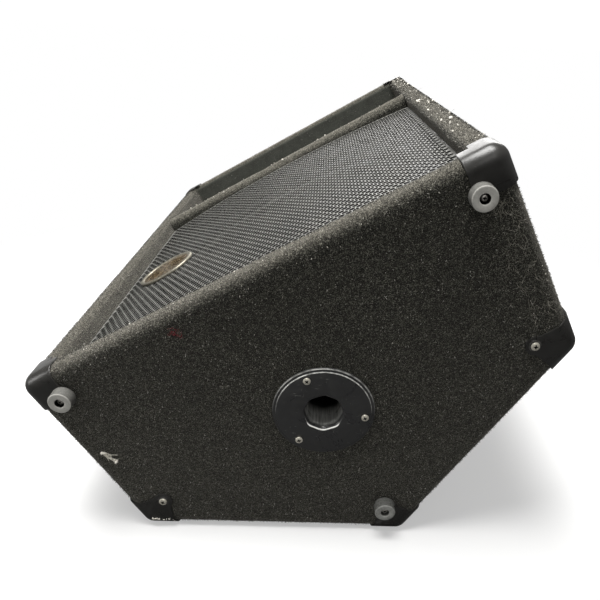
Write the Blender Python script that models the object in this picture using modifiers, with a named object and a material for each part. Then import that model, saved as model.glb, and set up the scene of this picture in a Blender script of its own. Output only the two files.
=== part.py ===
"""Stage monitor wedge: a carpeted two-way floor monitor with a 15 inch woofer behind a
bowed steel grille, a horn and an input plate in an open bay, five corner protectors at each
end, and three feet and a pole socket on the near side panel.

Everything is laid out in the baffle frame and hangs on one empty:
    x = across the baffle, from the lower front edge (A) to the upper back edge (E)
    y = along the cabinet's width, 0 at the outside of the near side, which has the pole socket
    z = outwards from the cabinet's front rim (depth into the cabinet is negative)
The end outline runs A, B, C, D, E. The cabinet rests on B-C, which tips the baffle by 30
degrees. Lengths are in metres.
"""
import math

import bmesh
import bpy
from mathutils import Matrix, Vector

# ---- cabinet
BAFFLE_LEN = 0.520        # A to E
WALL_H = 0.220            # A to B and E to D, square to the baffle
WIDTH = 0.770             # outside to outside, without feet
SLOPE = 30                # degrees, angle of both lower faces to the baffle
CARPET = 0.0032           # pressed pile carpet
BOARD = 0.019             # plywood
SKIN = 0.0035             # outside of the carpet to the board
EDGE_R = 0.012            # rounding of the side panels' outer rims
PLAN_R = 0.013            # rounding of the five corners of the end outline
GAP = 0.0003              # clearance between pieces that touch
RIM = SKIN + BOARD + SKIN      # thickness of the front rim
INSIDE = SKIN + BOARD + GAP    # outside of the carpet to a piece fitted between the boards
ARC = 4                   # facets to a corner of the end outline
# ---- front
BAFFLE_Z = -0.045         # baffle board's front face
SEAT_Z = BAFFLE_Z + GAP   # underside of everything mounted on the baffle board
GRILLE_END = 0.022        # grille's depth at its two bent ends
GRILLE_MID = 0.012        # and at its crown
GRILLE_T = 0.0015
GRILLE_BEND = 0.001       # chamfer over the bends
DIVIDER_Y = 0.525         # centre line of the carpeted divider
DIVIDER_TOP = -0.002
# ---- side hardware, positions in (x, z)
GUARD_T = 0.002           # corner protector wall
GUARD_WRAP = 0.036        # protector's reach along the cabinet's width
HARDWARE_Y = -(GUARD_T + GAP + GAP)   # seat of the feet and screws on the near protectors
FOOT_R, FOOT_H = 0.0118, 0.0128
CUP_POS = (0.260, -0.172)
CUP_R = 0.054             # pole socket plate
CUP_T = 0.0038
CUP_BORE_R = 0.031        # hole for the socket in panel and carpet
CUP_SCREW_R = 0.0437      # pitch radius of the socket's screws
SOCKET_AF = 0.038         # octagonal socket across flats, for a 35 mm pole
SOCKET_DEPTH = 0.080
# ---- mounted on the baffle, centres in (x, y)
WOOFER = (0.260, 0.269)
WOOFER_R = 0.1945         # frame radius of a 15 inch driver
HORN = (0.314, 0.641)
HORN_HALF = (0.170, 0.095)
HORN_DEPTH = 0.135
PLATE = (0.083, 0.641)    # input plate
PLATE_HALF = (0.043, 0.075)
PLATE_T = 0.002
# ---- construction
OVER = 0.02               # how far a cutting shape reaches past the cabinet
DRILL_Y = -0.01           # start of the drills, outside the near side
ORIGIN = (0.0, 0.0, 0.0)
UP = (0.0, 0.0, 0.0)                       # local z stays z
NEAR = (math.radians(90), 0.0, 0.0)        # local z points out of the near side, local y is z

for old in list(bpy.data.objects):
    bpy.data.objects.remove(old, do_unlink=True)

scene_objects = bpy.context.scene.collection
parts = bpy.data.collections.new("stage_monitor_wedge")
cutters = bpy.data.collections.new("cutters")
scene_objects.children.link(parts)
scene_objects.children.link(cutters)


# ------------------------------------------------------------------ materials
def material(name, colour, roughness, metallic=0.0):
    made = bpy.data.materials.new(name)
    made.use_nodes = True
    inputs = made.node_tree.nodes["Principled BSDF"].inputs
    inputs["Base Color"].default_value = (*colour, 1.0)
    inputs["Roughness"].default_value = roughness
    inputs["Metallic"].default_value = metallic
    made.diffuse_color = (*colour, 1.0)
    return made


PLY = material("plywood", colour=(0.42, 0.30, 0.18), roughness=0.8)
PILE = material("charcoal_carpet", colour=(0.030, 0.029, 0.028), roughness=0.95)
STEEL = material("black_painted_steel", colour=(0.045, 0.046, 0.048), roughness=0.45, metallic=0.6)
GUARD = material("black_guard_plastic", colour=(0.020, 0.020, 0.021), roughness=0.35)
RUBBER = material("grey_rubber", colour=(0.23, 0.23, 0.22), roughness=0.7)
ZINC = material("bright_zinc_screw", colour=(0.68, 0.66, 0.60), roughness=0.35, metallic=1.0)
CUP = material("black_cup_plastic", colour=(0.022, 0.022, 0.024), roughness=0.4)
BRONZE = material("bronze_badge", colour=(0.42, 0.30, 0.14), roughness=0.4, metallic=0.8)
CAST = material("cast_frame", colour=(0.06, 0.06, 0.065), roughness=0.5, metallic=0.7)
FERRITE = material("ferrite_and_plate", colour=(0.10, 0.10, 0.11), roughness=0.5, metallic=0.6)
PAPER = material("paper_cone", colour=(0.030, 0.030, 0.030), roughness=0.9)
CLOTH = material("treated_cloth", colour=(0.035, 0.030, 0.026), roughness=0.8)
AMBER = material("spider_cloth", colour=(0.40, 0.22, 0.07), roughness=0.85)
COPPER = material("copper_coil", colour=(0.60, 0.30, 0.14), roughness=0.4, metallic=0.9)
HORN_BLACK = material("black_horn_plastic", colour=(0.025, 0.025, 0.027), roughness=0.45)
TITANIUM = material("titanium_diaphragm", colour=(0.55, 0.55, 0.57), roughness=0.35, metallic=1.0)
PANEL = material("input_panel_black", colour=(0.030, 0.030, 0.032), roughness=0.5, metallic=0.5)
NICKEL = material("nickel", colour=(0.62, 0.61, 0.58), roughness=0.3, metallic=1.0)
KNOB_BLACK = material("knob_plastic", colour=(0.025, 0.025, 0.025), roughness=0.45)
CIRCUIT = material("circuit_board", colour=(0.06, 0.18, 0.08), roughness=0.6)
JACKET = material("cable_jacket", colour=(0.02, 0.02, 0.02), roughness=0.5)
POLYESTER = material("polyester_pad", colour=(0.70, 0.70, 0.66), roughness=0.95)

# ------------------------------------------------------------------ the baffle frame
frame = bpy.data.objects.new("baffle_frame", None)
parts.objects.link(frame)
frame.rotation_euler = (0.0, -math.radians(SLOPE), 0.0)


# ------------------------------------------------------------------ objects and modifiers
def placed(name, mesh, collection, loc, rot, parent):
    obj = bpy.data.objects.new(name, mesh)
    collection.objects.link(obj)
    obj.parent = parent
    obj.location = loc
    obj.rotation_euler = rot
    return obj


def piece(name, mesh, mat, loc=ORIGIN, rot=UP, smooth=True, parent=frame):
    """Link a mesh as a named, visible part."""
    mesh.materials.clear()
    mesh.materials.append(mat)
    if smooth:
        mesh.shade_smooth()
        mesh.set_sharp_from_angle(angle=math.radians(35))
    return placed(name, mesh, parts, loc, rot, parent)


def cutter(name, mesh, loc=ORIGIN, rot=UP):
    """Link a mesh as a hidden helper for a boolean."""
    obj = placed(name, mesh, cutters, loc, rot, frame)
    obj.hide_render = True
    obj.display_type = "WIRE"
    return obj


def boolean(obj, other, operation="DIFFERENCE"):
    mod = obj.modifiers.new(operation.lower(), "BOOLEAN")
    mod.operation = operation
    mod.solver = "EXACT"
    mod.object = other


def new_mesh(build):
    """Turn a bmesh into a mesh and free it."""
    mesh = bpy.data.meshes.new("built")
    build.to_mesh(mesh)
    build.free()
    return mesh


def clean(mesh, dist=1e-6, flat=False):
    """Weld a mesh and turn its faces outwards; flat also joins its coplanar faces."""
    work = bmesh.new()
    work.from_mesh(mesh)
    bmesh.ops.remove_doubles(work, verts=work.verts[:], dist=dist)
    if flat:
        bmesh.ops.dissolve_limit(work, angle_limit=0.001, verts=work.verts[:],
                                 edges=work.edges[:])
    bmesh.ops.recalc_face_normals(work, faces=work.faces[:])
    work.to_mesh(mesh)
    work.free()
    return mesh


def scratch(data):
    """A temporary object in the scene."""
    obj = bpy.data.objects.new("scratch", data)
    scene_objects.objects.link(obj)
    return obj


def evaluated(obj):
    """The object's evaluated mesh in its own space; the object is then removed."""
    depsgraph = bpy.context.evaluated_depsgraph_get()
    depsgraph.update()
    mesh = bpy.data.meshes.new_from_object(obj.evaluated_get(depsgraph), depsgraph=depsgraph)
    bpy.data.objects.remove(obj, do_unlink=True)
    return mesh


def combined(mesh, *steps):
    """Run a list of (operation, mesh) cuts and joins on a mesh and return the result."""
    work = scratch(mesh)
    tools = []
    for operation, other in steps:
        tools.append(scratch(other))
        boolean(work, tools[-1], operation)
    result = clean(evaluated(work))
    for tool in tools:
        bpy.data.objects.remove(tool, do_unlink=True)
    return result


# ------------------------------------------------------------------ flat outlines
def arc(x, y, radius, degrees):
    """Points of a circle about (x, y) at the given angles."""
    return [(x + radius * math.cos(math.radians(angle)), y + radius * math.sin(math.radians(angle)))
            for angle in degrees]


def circle(x, y, radius, count):
    return arc(x, y, radius, [360 * k / count for k in range(count)])


def rect(x, y, half_x, half_y, radius=0.0):
    """A rectangle's outline, with corners of three facets when a radius is given."""
    loop = []
    for side_x, side_y, start in ((-1, -1, 180), (1, -1, -90), (1, 1, 0), (-1, 1, 90)):
        corner = (x + side_x * (half_x - radius), y + side_y * (half_y - radius))
        if radius:
            loop += arc(*corner, radius, [start + 30 * k for k in range(4)])
        else:
            loop.append(corner)
    return loop


def outline_mesh(loops, thickness, flat):
    """A flat outline, with holes as further loops, given a thickness about z = 0."""
    curve = bpy.data.curves.new("outline", "CURVE")
    curve.dimensions = "2D"
    curve.fill_mode = "BOTH"
    curve.extrude = thickness / 2
    for loop in loops:
        spline = curve.splines.new("POLY")
        spline.points.add(len(loop) - 1)
        for point, (x, y) in zip(spline.points, loop):
            point.co = (x, y, 0.0, 1.0)
        spline.use_cyclic_u = True
    mesh = evaluated(scratch(curve))
    bpy.data.curves.remove(curve)
    return clean(mesh, flat=flat)


def along_x(loop, x0, x1):
    """An outline in (y, z), swept across the baffle from x0 to x1."""
    mesh = outline_mesh([loop], x1 - x0, flat=True)
    turn = Matrix(((0, 0, 1, 0), (1, 0, 0, 0), (0, 1, 0, 0), (0, 0, 0, 1)))
    mesh.transform(Matrix.Translation(((x0 + x1) / 2, 0, 0)) @ turn)
    return mesh


def along_y(loop, y0, y1):
    """An outline in (x, z), swept along the width from y0 to y1."""
    mesh = outline_mesh([loop], y1 - y0, flat=True)
    turn = Matrix.Rotation(math.radians(90), 4, "X")
    mesh.transform(Matrix.Translation((0, (y0 + y1) / 2, 0)) @ turn)
    return mesh


def along_z(loops, z0, z1):
    """An outline and its holes in (x, y), swept outwards from z0 to z1."""
    mesh = outline_mesh(loops, z1 - z0, flat=False)
    mesh.transform(Matrix.Translation((0, 0, (z0 + z1) / 2)))
    return mesh


# ------------------------------------------------------------------ solids
def box_mesh(low, high):
    build = bmesh.new()
    bmesh.ops.create_cube(build, size=1.0)
    for vert in build.verts:
        vert.co = Vector([low[k] + (vert.co[k] + 0.5) * (high[k] - low[k]) for k in range(3)])
    return new_mesh(build)


def front_box(z0, z1, grow=0.0):
    """A box filling the opening inside the front rim, grown sideways on all four sides."""
    return box_mesh((RIM - grow, RIM - grow, z0),
                    (BAFFLE_LEN - RIM + grow, WIDTH - RIM + grow, z1))


def drill(name, holes, y0, y1, segments=10):
    """One cutter of separate bars along y; holes are ((x, z), radius)."""
    build = bmesh.new()
    turn = Matrix.Rotation(math.radians(90), 3, "X")
    for (x, z), radius in holes:
        made = bmesh.ops.create_cone(build, cap_ends=True, segments=segments, radius1=radius,
                                     radius2=radius, depth=y1 - y0)["verts"]
        bmesh.ops.rotate(build, verts=made, cent=ORIGIN, matrix=turn)
        bmesh.ops.translate(build, verts=made, vec=(x, (y0 + y1) / 2, z))
    return cutter(name, new_mesh(build))


def loft(rings, closed=False):
    """A skin over matching rings; closed joins last to first, otherwise the ends are capped."""
    build = bmesh.new()
    made = [[build.verts.new(point) for point in ring] for ring in rings]
    count = len(made[0])
    for ring, following in zip(made, made[1:] + (made[:1] if closed else [])):
        for k in range(count):
            after = (k + 1) % count
            build.faces.new((ring[k], ring[after], following[after], following[k]))
    if not closed:
        build.faces.new(made[0])
        build.faces.new(made[-1][::-1])
    bmesh.ops.recalc_face_normals(build, faces=build.faces[:])
    return new_mesh(build)


def turned(name, profile, mat, loc=ORIGIN, rot=UP, steps=32, closed=False, parent=frame):
    """A turned piece: a profile of (radius, height) points spun about local z."""
    edges = [(k, k + 1) for k in range(len(profile) - 1)]
    if closed:
        edges.append((len(profile) - 1, 0))
    mesh = bpy.data.meshes.new(name)
    mesh.from_pydata([(radius, 0.0, height) for radius, height in profile], edges, [])
    work = scratch(mesh)
    spin = work.modifiers.new("spin", "SCREW")
    spin.axis = "Z"
    spin.angle = 2 * math.pi
    spin.steps = spin.render_steps = steps
    spin.use_merge_vertices = True
    spin.merge_threshold = 0.00001
    return piece(name, clean(evaluated(work)), mat, loc, rot, parent=parent)


def dome(radius, height, base, count):
    """Profile points of an elliptical dome, from its crown down to its base."""
    angles = [math.radians(90 * k / count) for k in range(count + 1)]
    return [(radius * math.sin(angle), base + height * math.cos(angle)) for angle in angles]


def smooth_path(keys, per=5):
    """Points of a Catmull-Rom path through the key points, per points to a span."""
    keys = [Vector(key) for key in keys]
    keys = [keys[0] * 2 - keys[1]] + keys + [keys[-1] * 2 - keys[-2]]
    path = []
    for before, start, end, after in zip(keys, keys[1:], keys[2:], keys[3:]):
        for k in range(per):
            t = k / per
            path.append(0.5 * ((2 * start) + (end - before) * t
                               + (2 * before - 5 * start + 4 * end - after) * t ** 2
                               + (3 * start - before - 3 * end + after) * t ** 3))
    path.append(keys[-2])
    return path


def cable(name, radius, keys):
    """A round cable along a smooth path through the key points."""
    points = smooth_path(keys)
    curve = bpy.data.curves.new(name, "CURVE")
    curve.dimensions = "3D"
    curve.bevel_depth = radius
    curve.bevel_resolution = 2
    curve.use_fill_caps = True
    spline = curve.splines.new("POLY")
    spline.points.add(len(points) - 1)
    for point, place in zip(spline.points, points):
        point.co = (*place, 1.0)
    mesh = evaluated(scratch(curve))
    bpy.data.curves.remove(curve)
    piece(name, clean(mesh, dist=1e-5), JACKET)


# ------------------------------------------------------------------ the end outline
def pentagon(inset=0.0):
    """The end outline A, B, C, D, E in (x, z), moved inwards by inset."""
    low = WALL_H + BAFFLE_LEN / 2 * math.tan(math.radians(SLOPE))
    corners = [Vector((0, 0)), Vector((0, -WALL_H)), Vector((BAFFLE_LEN / 2, -low)),
               Vector((BAFFLE_LEN, -WALL_H)), Vector((BAFFLE_LEN, 0))]
    moved = []
    for i, corner in enumerate(corners):
        arriving = (corner - corners[i - 1]).normalized()
        leaving = (corners[(i + 1) % 5] - corner).normalized()
        normal_in = Vector((-arriving.y, arriving.x))
        normal_out = Vector((-leaving.y, leaving.x))
        moved.append(corner + (normal_in + normal_out) * (inset / (1 + normal_in.dot(normal_out))))
    return moved


def corner_arc(corners, i, radius):
    """The rounded corner i of an outline, in ARC facets."""
    corner = corners[i]
    arriving = (corner - corners[i - 1]).normalized()
    leaving = (corners[(i + 1) % 5] - corner).normalized()
    normal = Vector((-arriving.y, arriving.x))
    turn = arriving.angle(leaving)
    centre = corner - arriving * radius * math.tan(turn / 2) + normal * radius
    start = math.atan2(-normal.y, -normal.x)
    angles = [start + turn * k / ARC for k in range(ARC + 1)]
    return [centre + radius * Vector((math.cos(angle), math.sin(angle))) for angle in angles]


def body(inset, y_from=None, y_to=None):
    """The cabinet's envelope, inset from the outside of the carpet.

    An end with a y given is cut flat there; an end left out is inset and has a rounded rim.
    """
    low = inset if y_from is None else y_from
    high = WIDTH - inset if y_to is None else y_to
    rims = [y for y, cut in ((low, y_from), (high, y_to)) if cut is None]
    corners = pentagon(inset)
    loop = [point for i in range(5) for point in corner_arc(corners, i, PLAN_R - inset)]
    build = bmesh.new()
    build.from_mesh(along_y(loop, low, high))
    edges = [edge for edge in build.edges for y in rims
             if all(abs(vert.co.y - y) < 1e-6 for vert in edge.verts)]
    bmesh.ops.bevel(build, geom=edges, offset=EDGE_R - inset, offset_type="OFFSET", segments=3,
                    profile=0.5, affect="EDGES", clamp_overlap=False)
    bmesh.ops.recalc_face_normals(build, faces=build.faces[:])
    return new_mesh(build)


# ------------------------------------------------------------------ hardware positions, in (x, z)
CORNERS = pentagon()
NAMES = ("front", "lower_front", "bottom", "lower_back", "back")   # A, B, C, D, E
FEET = (0, 2, 4)                                                   # corners with a foot


def inward(i):
    """Unit bisector of corner i, pointing into the outline."""
    before, corner, after = CORNERS[i - 1], CORNERS[i], CORNERS[(i + 1) % 5]
    return ((before - corner).normalized() + (after - corner).normalized()).normalized()


# The screw through each protector; at B, C and D it lies on the bisector.
FIXINGS = [Vector((0.035, -0.031)),
           *(CORNERS[i] + inward(i) * reach for i, reach in ((1, 0.0442), (2, 0.0480), (3, 0.0442))),
           Vector((BAFFLE_LEN - 0.033, -0.032))]
CUP_SCREWS = arc(*CUP_POS, CUP_SCREW_R, (85.0, -35.0, -155.0))

# ------------------------------------------------------------------ side panels
near_panel = piece("side_panel_near", body(SKIN, y_to=SKIN + BOARD), PLY)
panel_holes = [(point, 0.0027) for point in FIXINGS] + [(point, 0.0025) for point in CUP_SCREWS]
boolean(near_panel, drill("drill_near_panel", panel_holes, DRILL_Y, 0.03))
cup_hole = drill("bore_cup_near", [(CUP_POS, CUP_BORE_R)], DRILL_Y, 0.03, segments=32)
boolean(near_panel, cup_hole)

piece("side_panel_far", body(SKIN, y_from=WIDTH - SKIN - BOARD), PLY)

# ------------------------------------------------------------------ walls between the side panels
OUTER, INNER = pentagon(SKIN), pentagon(SKIN + BOARD)


def wall(name, i):
    """The board from corner i to the next one, with a small glue gap at each mitre."""
    gap = (OUTER[i + 1] - OUTER[i]).normalized() * GAP
    start, end = (corner_arc(OUTER, k, PLAN_R - SKIN) for k in (i, i + 1))
    # The boards at A and E end in a rounded rim; the other ends are mitred at mid-arc.
    if i == 0:
        inner_start = Vector((SKIN + BOARD, -SKIN))
    else:
        start = [point + gap for point in start[ARC // 2:]]
        inner_start = INNER[i] + gap
    if i + 1 == 4:
        inner_end = Vector((BAFFLE_LEN - SKIN - BOARD, -SKIN))
    else:
        end = [point - gap for point in end[:ARC // 2 + 1]]
        inner_end = INNER[i + 1] - gap
    piece(name, along_y(start + end + [inner_end, inner_start], INSIDE, WIDTH - INSIDE), PLY)


for i, name in enumerate(("front_wall", "base_panel", "sloped_panel", "back_wall")):
    wall(name, i)

# ------------------------------------------------------------------ baffle board
HORN_LAND = 0.0065        # overlap of the horn's flange on the board
PLATE_LAND = 0.007        # overlap of the input plate
baffle_loops = [
    rect(BAFFLE_LEN / 2, WIDTH / 2, BAFFLE_LEN / 2 - INSIDE, WIDTH / 2 - INSIDE),
    circle(*WOOFER, 0.179, 48),
    rect(*HORN, HORN_HALF[0] - HORN_LAND, HORN_HALF[1] - HORN_LAND, 0.012),
    rect(*PLATE, PLATE_HALF[0] - PLATE_LAND, PLATE_HALF[1] - PLATE_LAND, 0.003),
]
piece("baffle_board", along_z(baffle_loops, BAFFLE_Z - BOARD, BAFFLE_Z), PLY, smooth=False)


# ------------------------------------------------------------------ divider
DIVIDER_HALF = BOARD / 2 + SKIN


def divider(name, inset, mat, inner=()):
    """Sweep the round-topped divider section, less an inner section, across the opening."""
    loop = divider_section(inset) + list(inner)[::-1]
    piece(name, along_x(loop, RIM + GAP, BAFFLE_LEN - RIM - GAP), mat)


def divider_section(inset):
    """Upright section with a round top in (y, z), inset from the outside of the carpet."""
    half = DIVIDER_HALF - inset
    top = arc(DIVIDER_Y, DIVIDER_TOP - inset - half, half, [180 * k / 8 for k in range(9)])
    return [(DIVIDER_Y + half, SEAT_Z), *top, (DIVIDER_Y - half, SEAT_Z)]


divider("divider_batten", SKIN, PLY)
divider("carpet_divider", 0.0, PILE, inner=divider_section(CARPET))


# ------------------------------------------------------------------ carpet
def carpet_shell():
    """Carpet over the outside, over the front rim and down the rim's inner faces."""
    return combined(body(0.0), ("DIFFERENCE", body(CARPET)),
                    ("UNION", front_box(SEAT_Z, -0.001, grow=CARPET)),
                    ("DIFFERENCE", front_box(BAFFLE_Z - OVER, OVER)))


def side_zone(grow=0.0, far=False):
    """The zone the side piece of carpet covers: the side, its rim and the rim's lip."""
    seam, lip, bottom = PLAN_R + grow, RIM + 0.0005 + grow, BAFFLE_Z - 0.001 - grow
    section = [(-OVER, -0.5), (seam, -0.5), (seam, bottom), (lip, bottom), (lip, OVER),
               (-OVER, OVER)]
    low, high = seam, 0.05
    if far:
        section = [(WIDTH - y, z) for y, z in section][::-1]
        low, high = WIDTH - high, WIDTH - low
    # Past the seam the zone keeps off the rims of the front and back walls.
    ends = [("DIFFERENCE", box_mesh((x0, low, -0.6), (x1, high, 0.05)))
            for x0, x1 in ((-0.04, RIM + GAP - grow),
                           (BAFFLE_LEN - RIM - GAP + grow, BAFFLE_LEN + 0.04))]
    return combined(along_x(section, -0.03, BAFFLE_LEN + 0.03), *ends)


carpet_near = piece("carpet_side_near", combined(carpet_shell(), ("INTERSECT", side_zone())), PILE)
carpet_holes = [(point, 0.003) for point, _ in panel_holes]
boolean(carpet_near, drill("drill_near_carpet", carpet_holes, DRILL_Y, 0.0225))
boolean(carpet_near, cup_hole)
piece("carpet_side_far", combined(carpet_shell(), ("INTERSECT", side_zone(far=True))), PILE)
piece("carpet_wrap", combined(carpet_shell(), ("DIFFERENCE", side_zone(GAP)),
                              ("DIFFERENCE", side_zone(GAP, far=True))), PILE)

# ------------------------------------------------------------------ corner protectors
GUARD_X, GUARD_Z, GUARD_R = 0.038, 0.037, 0.007   # reach and rounding at A and E
# Half outline at B, C and D: (distance inwards from the corner, distance off the bisector)
TAB_HALF = [(-0.025, 0.041), (0.010, 0.041), (0.0185, 0.030), (0.0245, 0.0225), (0.040, 0.0112)]
TAB_TIP, TAB_TIP_R = 0.0430, 0.0105               # centre and radius of the tab's round end
BOTTOM_TAB_EXTRA = 0.004                          # the tab at C is longer


def guard_region(i):
    """Side view outline of a protector: square at A and E, a tab at the others."""
    if i in (0, 4):
        rounding = arc(GUARD_X - GUARD_R, GUARD_R - GUARD_Z, GUARD_R, (-90, -60, -30, 0))
        loop = [(-OVER, OVER), (-OVER, -GUARD_Z), *rounding, (GUARD_X, OVER)]
        return loop if i == 0 else [(BAFFLE_LEN - x, z) for x, z in loop[::-1]]
    inwards = inward(i)
    across = Vector((-inwards.y, inwards.x))
    centre = TAB_TIP + (BOTTOM_TAB_EXTRA if i == 2 else 0.0)
    tip = arc(centre, 0.0, TAB_TIP_R, (68, 45, 22, 0, -22, -45, -68))
    loop = TAB_HALF + tip + [(x, -y) for x, y in TAB_HALF[::-1]]
    return [tuple(CORNERS[i] + inwards * x + across * y) for x, y in loop]


for i, corner in enumerate(NAMES):
    for side, y0, y1 in (("near", -OVER, GUARD_WRAP), ("far", WIDTH - GUARD_WRAP, WIDTH + OVER)):
        shell = combined(along_y(guard_region(i), y0, y1),
                         ("INTERSECT", body(-GUARD_T - GAP)), ("DIFFERENCE", body(-GAP)),
                         ("DIFFERENCE", front_box(-0.10, 0.05)))
        guard = piece(f"corner_{corner}_{side}", shell, GUARD)
        if side == "near":
            boolean(guard, drill(f"drill_{corner}", [(FIXINGS[i], 0.0025)], DRILL_Y, 0.003))

# ------------------------------------------------------------------ feet, and the near side's screws
# Profiles are (radius, height above the seat).
FOOT_PROFILE = [
    (0.0050, FOOT_H), (FOOT_R - 0.0018, FOOT_H), (FOOT_R - 0.0008, FOOT_H - 0.0009),
    (FOOT_R + 0.0004, 0.0008), (FOOT_R, 0.0), (0.0028, 0.0), (0.0028, 0.0065), (0.0050, 0.0065)]
FOOT_SCREW = [
    (0.0, 0.0096), (0.0022, 0.0094), (0.0040, 0.0082), (0.0043, 0.0068), (0.0022, 0.0068),
    (0.0022, -0.0190), (0.0, -0.0210)]
PROTECTOR_SCREW = [
    (0.0, 0.0024), (0.0020, 0.0022), (0.0036, 0.0014), (0.0042, 0.0), (0.0020, 0.0),
    (0.0020, -0.0170), (0.0, -0.0190)]
SOCKET_SCREW = [
    (0.0, 0.0024), (0.0019, 0.0022), (0.0034, 0.0014), (0.0039, 0.0), (0.0019, 0.0),
    (0.0019, -0.0200), (0.0, -0.0215)]

for i, corner in enumerate(NAMES):
    place = (FIXINGS[i].x, HARDWARE_Y, FIXINGS[i].y)
    if i in FEET:
        turned(f"foot_{corner}", FOOT_PROFILE, RUBBER, place, NEAR, steps=24, closed=True)
        turned(f"foot_screw_{corner}", FOOT_SCREW, ZINC, place, NEAR, steps=12)
    else:
        turned(f"protector_screw_{corner}", PROTECTOR_SCREW, ZINC, place, NEAR, steps=12)

# ------------------------------------------------------------------ pole socket
CUP_PLACE = (CUP_POS[0], -GAP, CUP_POS[1])
CUP_FLOOR = -SOCKET_DEPTH - 0.005
CUP_PROFILE = [
    (0.0, CUP_T), (0.0490, CUP_T), (0.0500, 0.0030), (0.0530, 0.0030), (CUP_R, 0.0018),
    (CUP_R, 0.0), (0.0290, 0.0), (0.0270, CUP_FLOOR), (0.0, CUP_FLOOR)]
OCTAGON_R = SOCKET_AF / 2 / math.cos(math.pi / 8)
# Rings of the bore with its flared mouth: (corner radius, height)
SOCKET_RINGS = ((OCTAGON_R + 0.0045, 0.0065), (OCTAGON_R + 0.0011, 0.0020),
                (OCTAGON_R, -0.0010), (OCTAGON_R, -SOCKET_DEPTH))


def socket_bore():
    """An octagonal bore; at rest its corners point level, upright and midway between."""
    angles = [-SLOPE + 45 * k for k in range(8)]
    return loft([[(x, y, height) for x, y in arc(0, 0, radius, angles)]
                 for radius, height in SOCKET_RINGS])


cup = turned("pole_socket", CUP_PROFILE, CUP, CUP_PLACE, NEAR, steps=40)
boolean(cup, cutter("bore_socket", socket_bore(), CUP_PLACE, NEAR))
boolean(cup, drill("drill_cup", [(point, 0.0023) for point in CUP_SCREWS], -0.02, 0.005))
for k, (x, z) in enumerate(CUP_SCREWS):
    turned(f"socket_screw_{k + 1}", SOCKET_SCREW, ZINC, (x, -GAP - CUP_T - GAP, z), NEAR, steps=12)

# ------------------------------------------------------------------ grille
GRILLE_HALF = (BAFFLE_LEN - 2 * RIM) / 2 - 0.0008
GRILLE_SAG = GRILLE_END - GRILLE_MID
GRILLE_BOW_R = (GRILLE_HALF ** 2 + GRILLE_SAG ** 2) / (2 * GRILLE_SAG)
GRILLE_PLAY = 0.0005      # play at the near rim and at the divider


def bow_height(x):
    """Height of the bow's outer surface over the centre of its circle."""
    return math.sqrt(GRILLE_BOW_R ** 2 - (x - BAFFLE_LEN / 2) ** 2)


def grille_z(x):
    """Outer surface of the bowed grille."""
    return -GRILLE_MID - (GRILLE_BOW_R - bow_height(x))


def grille_section(count=20):
    """Bowed sheet with both ends bent down to stand on the baffle board."""
    xs = [BAFFLE_LEN / 2 - GRILLE_HALF + 2 * GRILLE_HALF * k / count for k in range(count + 1)]
    start, end = xs[0], xs[-1]
    crown = [(x, grille_z(x)) for x in xs[1:-1]]
    outer = [(start, SEAT_Z), (start, grille_z(start) - GRILLE_BEND),
             (start + GRILLE_BEND, grille_z(start + GRILLE_BEND)), *crown,
             (end - GRILLE_BEND, grille_z(end - GRILLE_BEND)),
             (end, grille_z(end) - GRILLE_BEND), (end, SEAT_Z)]
    inner = [(start + GRILLE_T, SEAT_Z), (start + GRILLE_T, grille_z(start) - GRILLE_T),
             *((x, z - GRILLE_T) for x, z in crown),
             (end - GRILLE_T, grille_z(end) - GRILLE_T), (end - GRILLE_T, SEAT_Z)]
    return outer + inner[::-1]


piece("grille", along_y(grille_section(), RIM + GRILLE_PLAY,
                        DIVIDER_Y - DIVIDER_HALF - GRILLE_PLAY), STEEL)

# ------------------------------------------------------------------ badge
BADGE_X, BADGE_Y = 0.098, 0.235
BADGE_HALF = (0.048, 0.0355)      # half axes of the oval
BADGE_TURN = -31                  # degrees in the plane of the grille
BADGE_LIFT = 0.0006               # base above the grille's outer surface
# (fraction of the half axis, height)
BADGE_PROFILE = [
    (0.0, 0.0030), (0.60, 0.0028), (0.84, 0.0020), (0.88, 0.0020), (0.91, 0.0032),
    (0.97, 0.0032), (1.0, 0.0022), (1.0, 0.0), (0.0, 0.0)]
badge_tilt = math.atan((BADGE_X - BAFFLE_LEN / 2) / bow_height(BADGE_X))
badge = turned("badge", BADGE_PROFILE, BRONZE,
               (BADGE_X, BADGE_Y, grille_z(BADGE_X) + BADGE_LIFT), (0.0, badge_tilt, 0.0))
badge.data.transform(Matrix.Rotation(math.radians(BADGE_TURN), 4, "Z")
                     @ Matrix.Diagonal((*BADGE_HALF, 1.0, 1.0)))

# ------------------------------------------------------------------ woofer, fixed parts
# Profiles are (radius, height above the frame's seat).
WOOFER_PLACE = (*WOOFER, SEAT_Z)
BASKET_PROFILE = [
    (0.1700, 0.0040), (WOOFER_R, 0.0040), (WOOFER_R, 0.0), (0.1770, 0.0), (0.1750, -0.0150),
    (0.1050, -0.0880), (0.0790, -0.1030), (0.0790, -0.1070), (0.0400, -0.1070),
    (0.0400, -0.1030), (0.0760, -0.1030), (0.1020, -0.0850), (0.1720, -0.0130)]
GASKET_PROFILE = [
    (0.1720, 0.0080), (0.1925, 0.0080), (0.1935, 0.0070), (0.1935, 0.0043), (0.1720, 0.0043)]
# Solid of revolution with an annular gap round the pole for the voice coil
MAGNET_PROFILE = [
    (0.0, -0.1050), (0.0300, -0.1050), (0.0300, -0.1330), (0.0350, -0.1330),
    (0.0350, -0.1073), (0.0790, -0.1073), (0.0790, -0.1150), (0.0765, -0.1155),
    (0.0765, -0.1345), (0.0720, -0.1350), (0.0720, -0.1430), (0.0, -0.1430)]
WINDOW_SIZE = (0.044, 0.100, 0.050)
WINDOW_CENTRE = (0.134, 0.0, -0.053)


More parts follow.
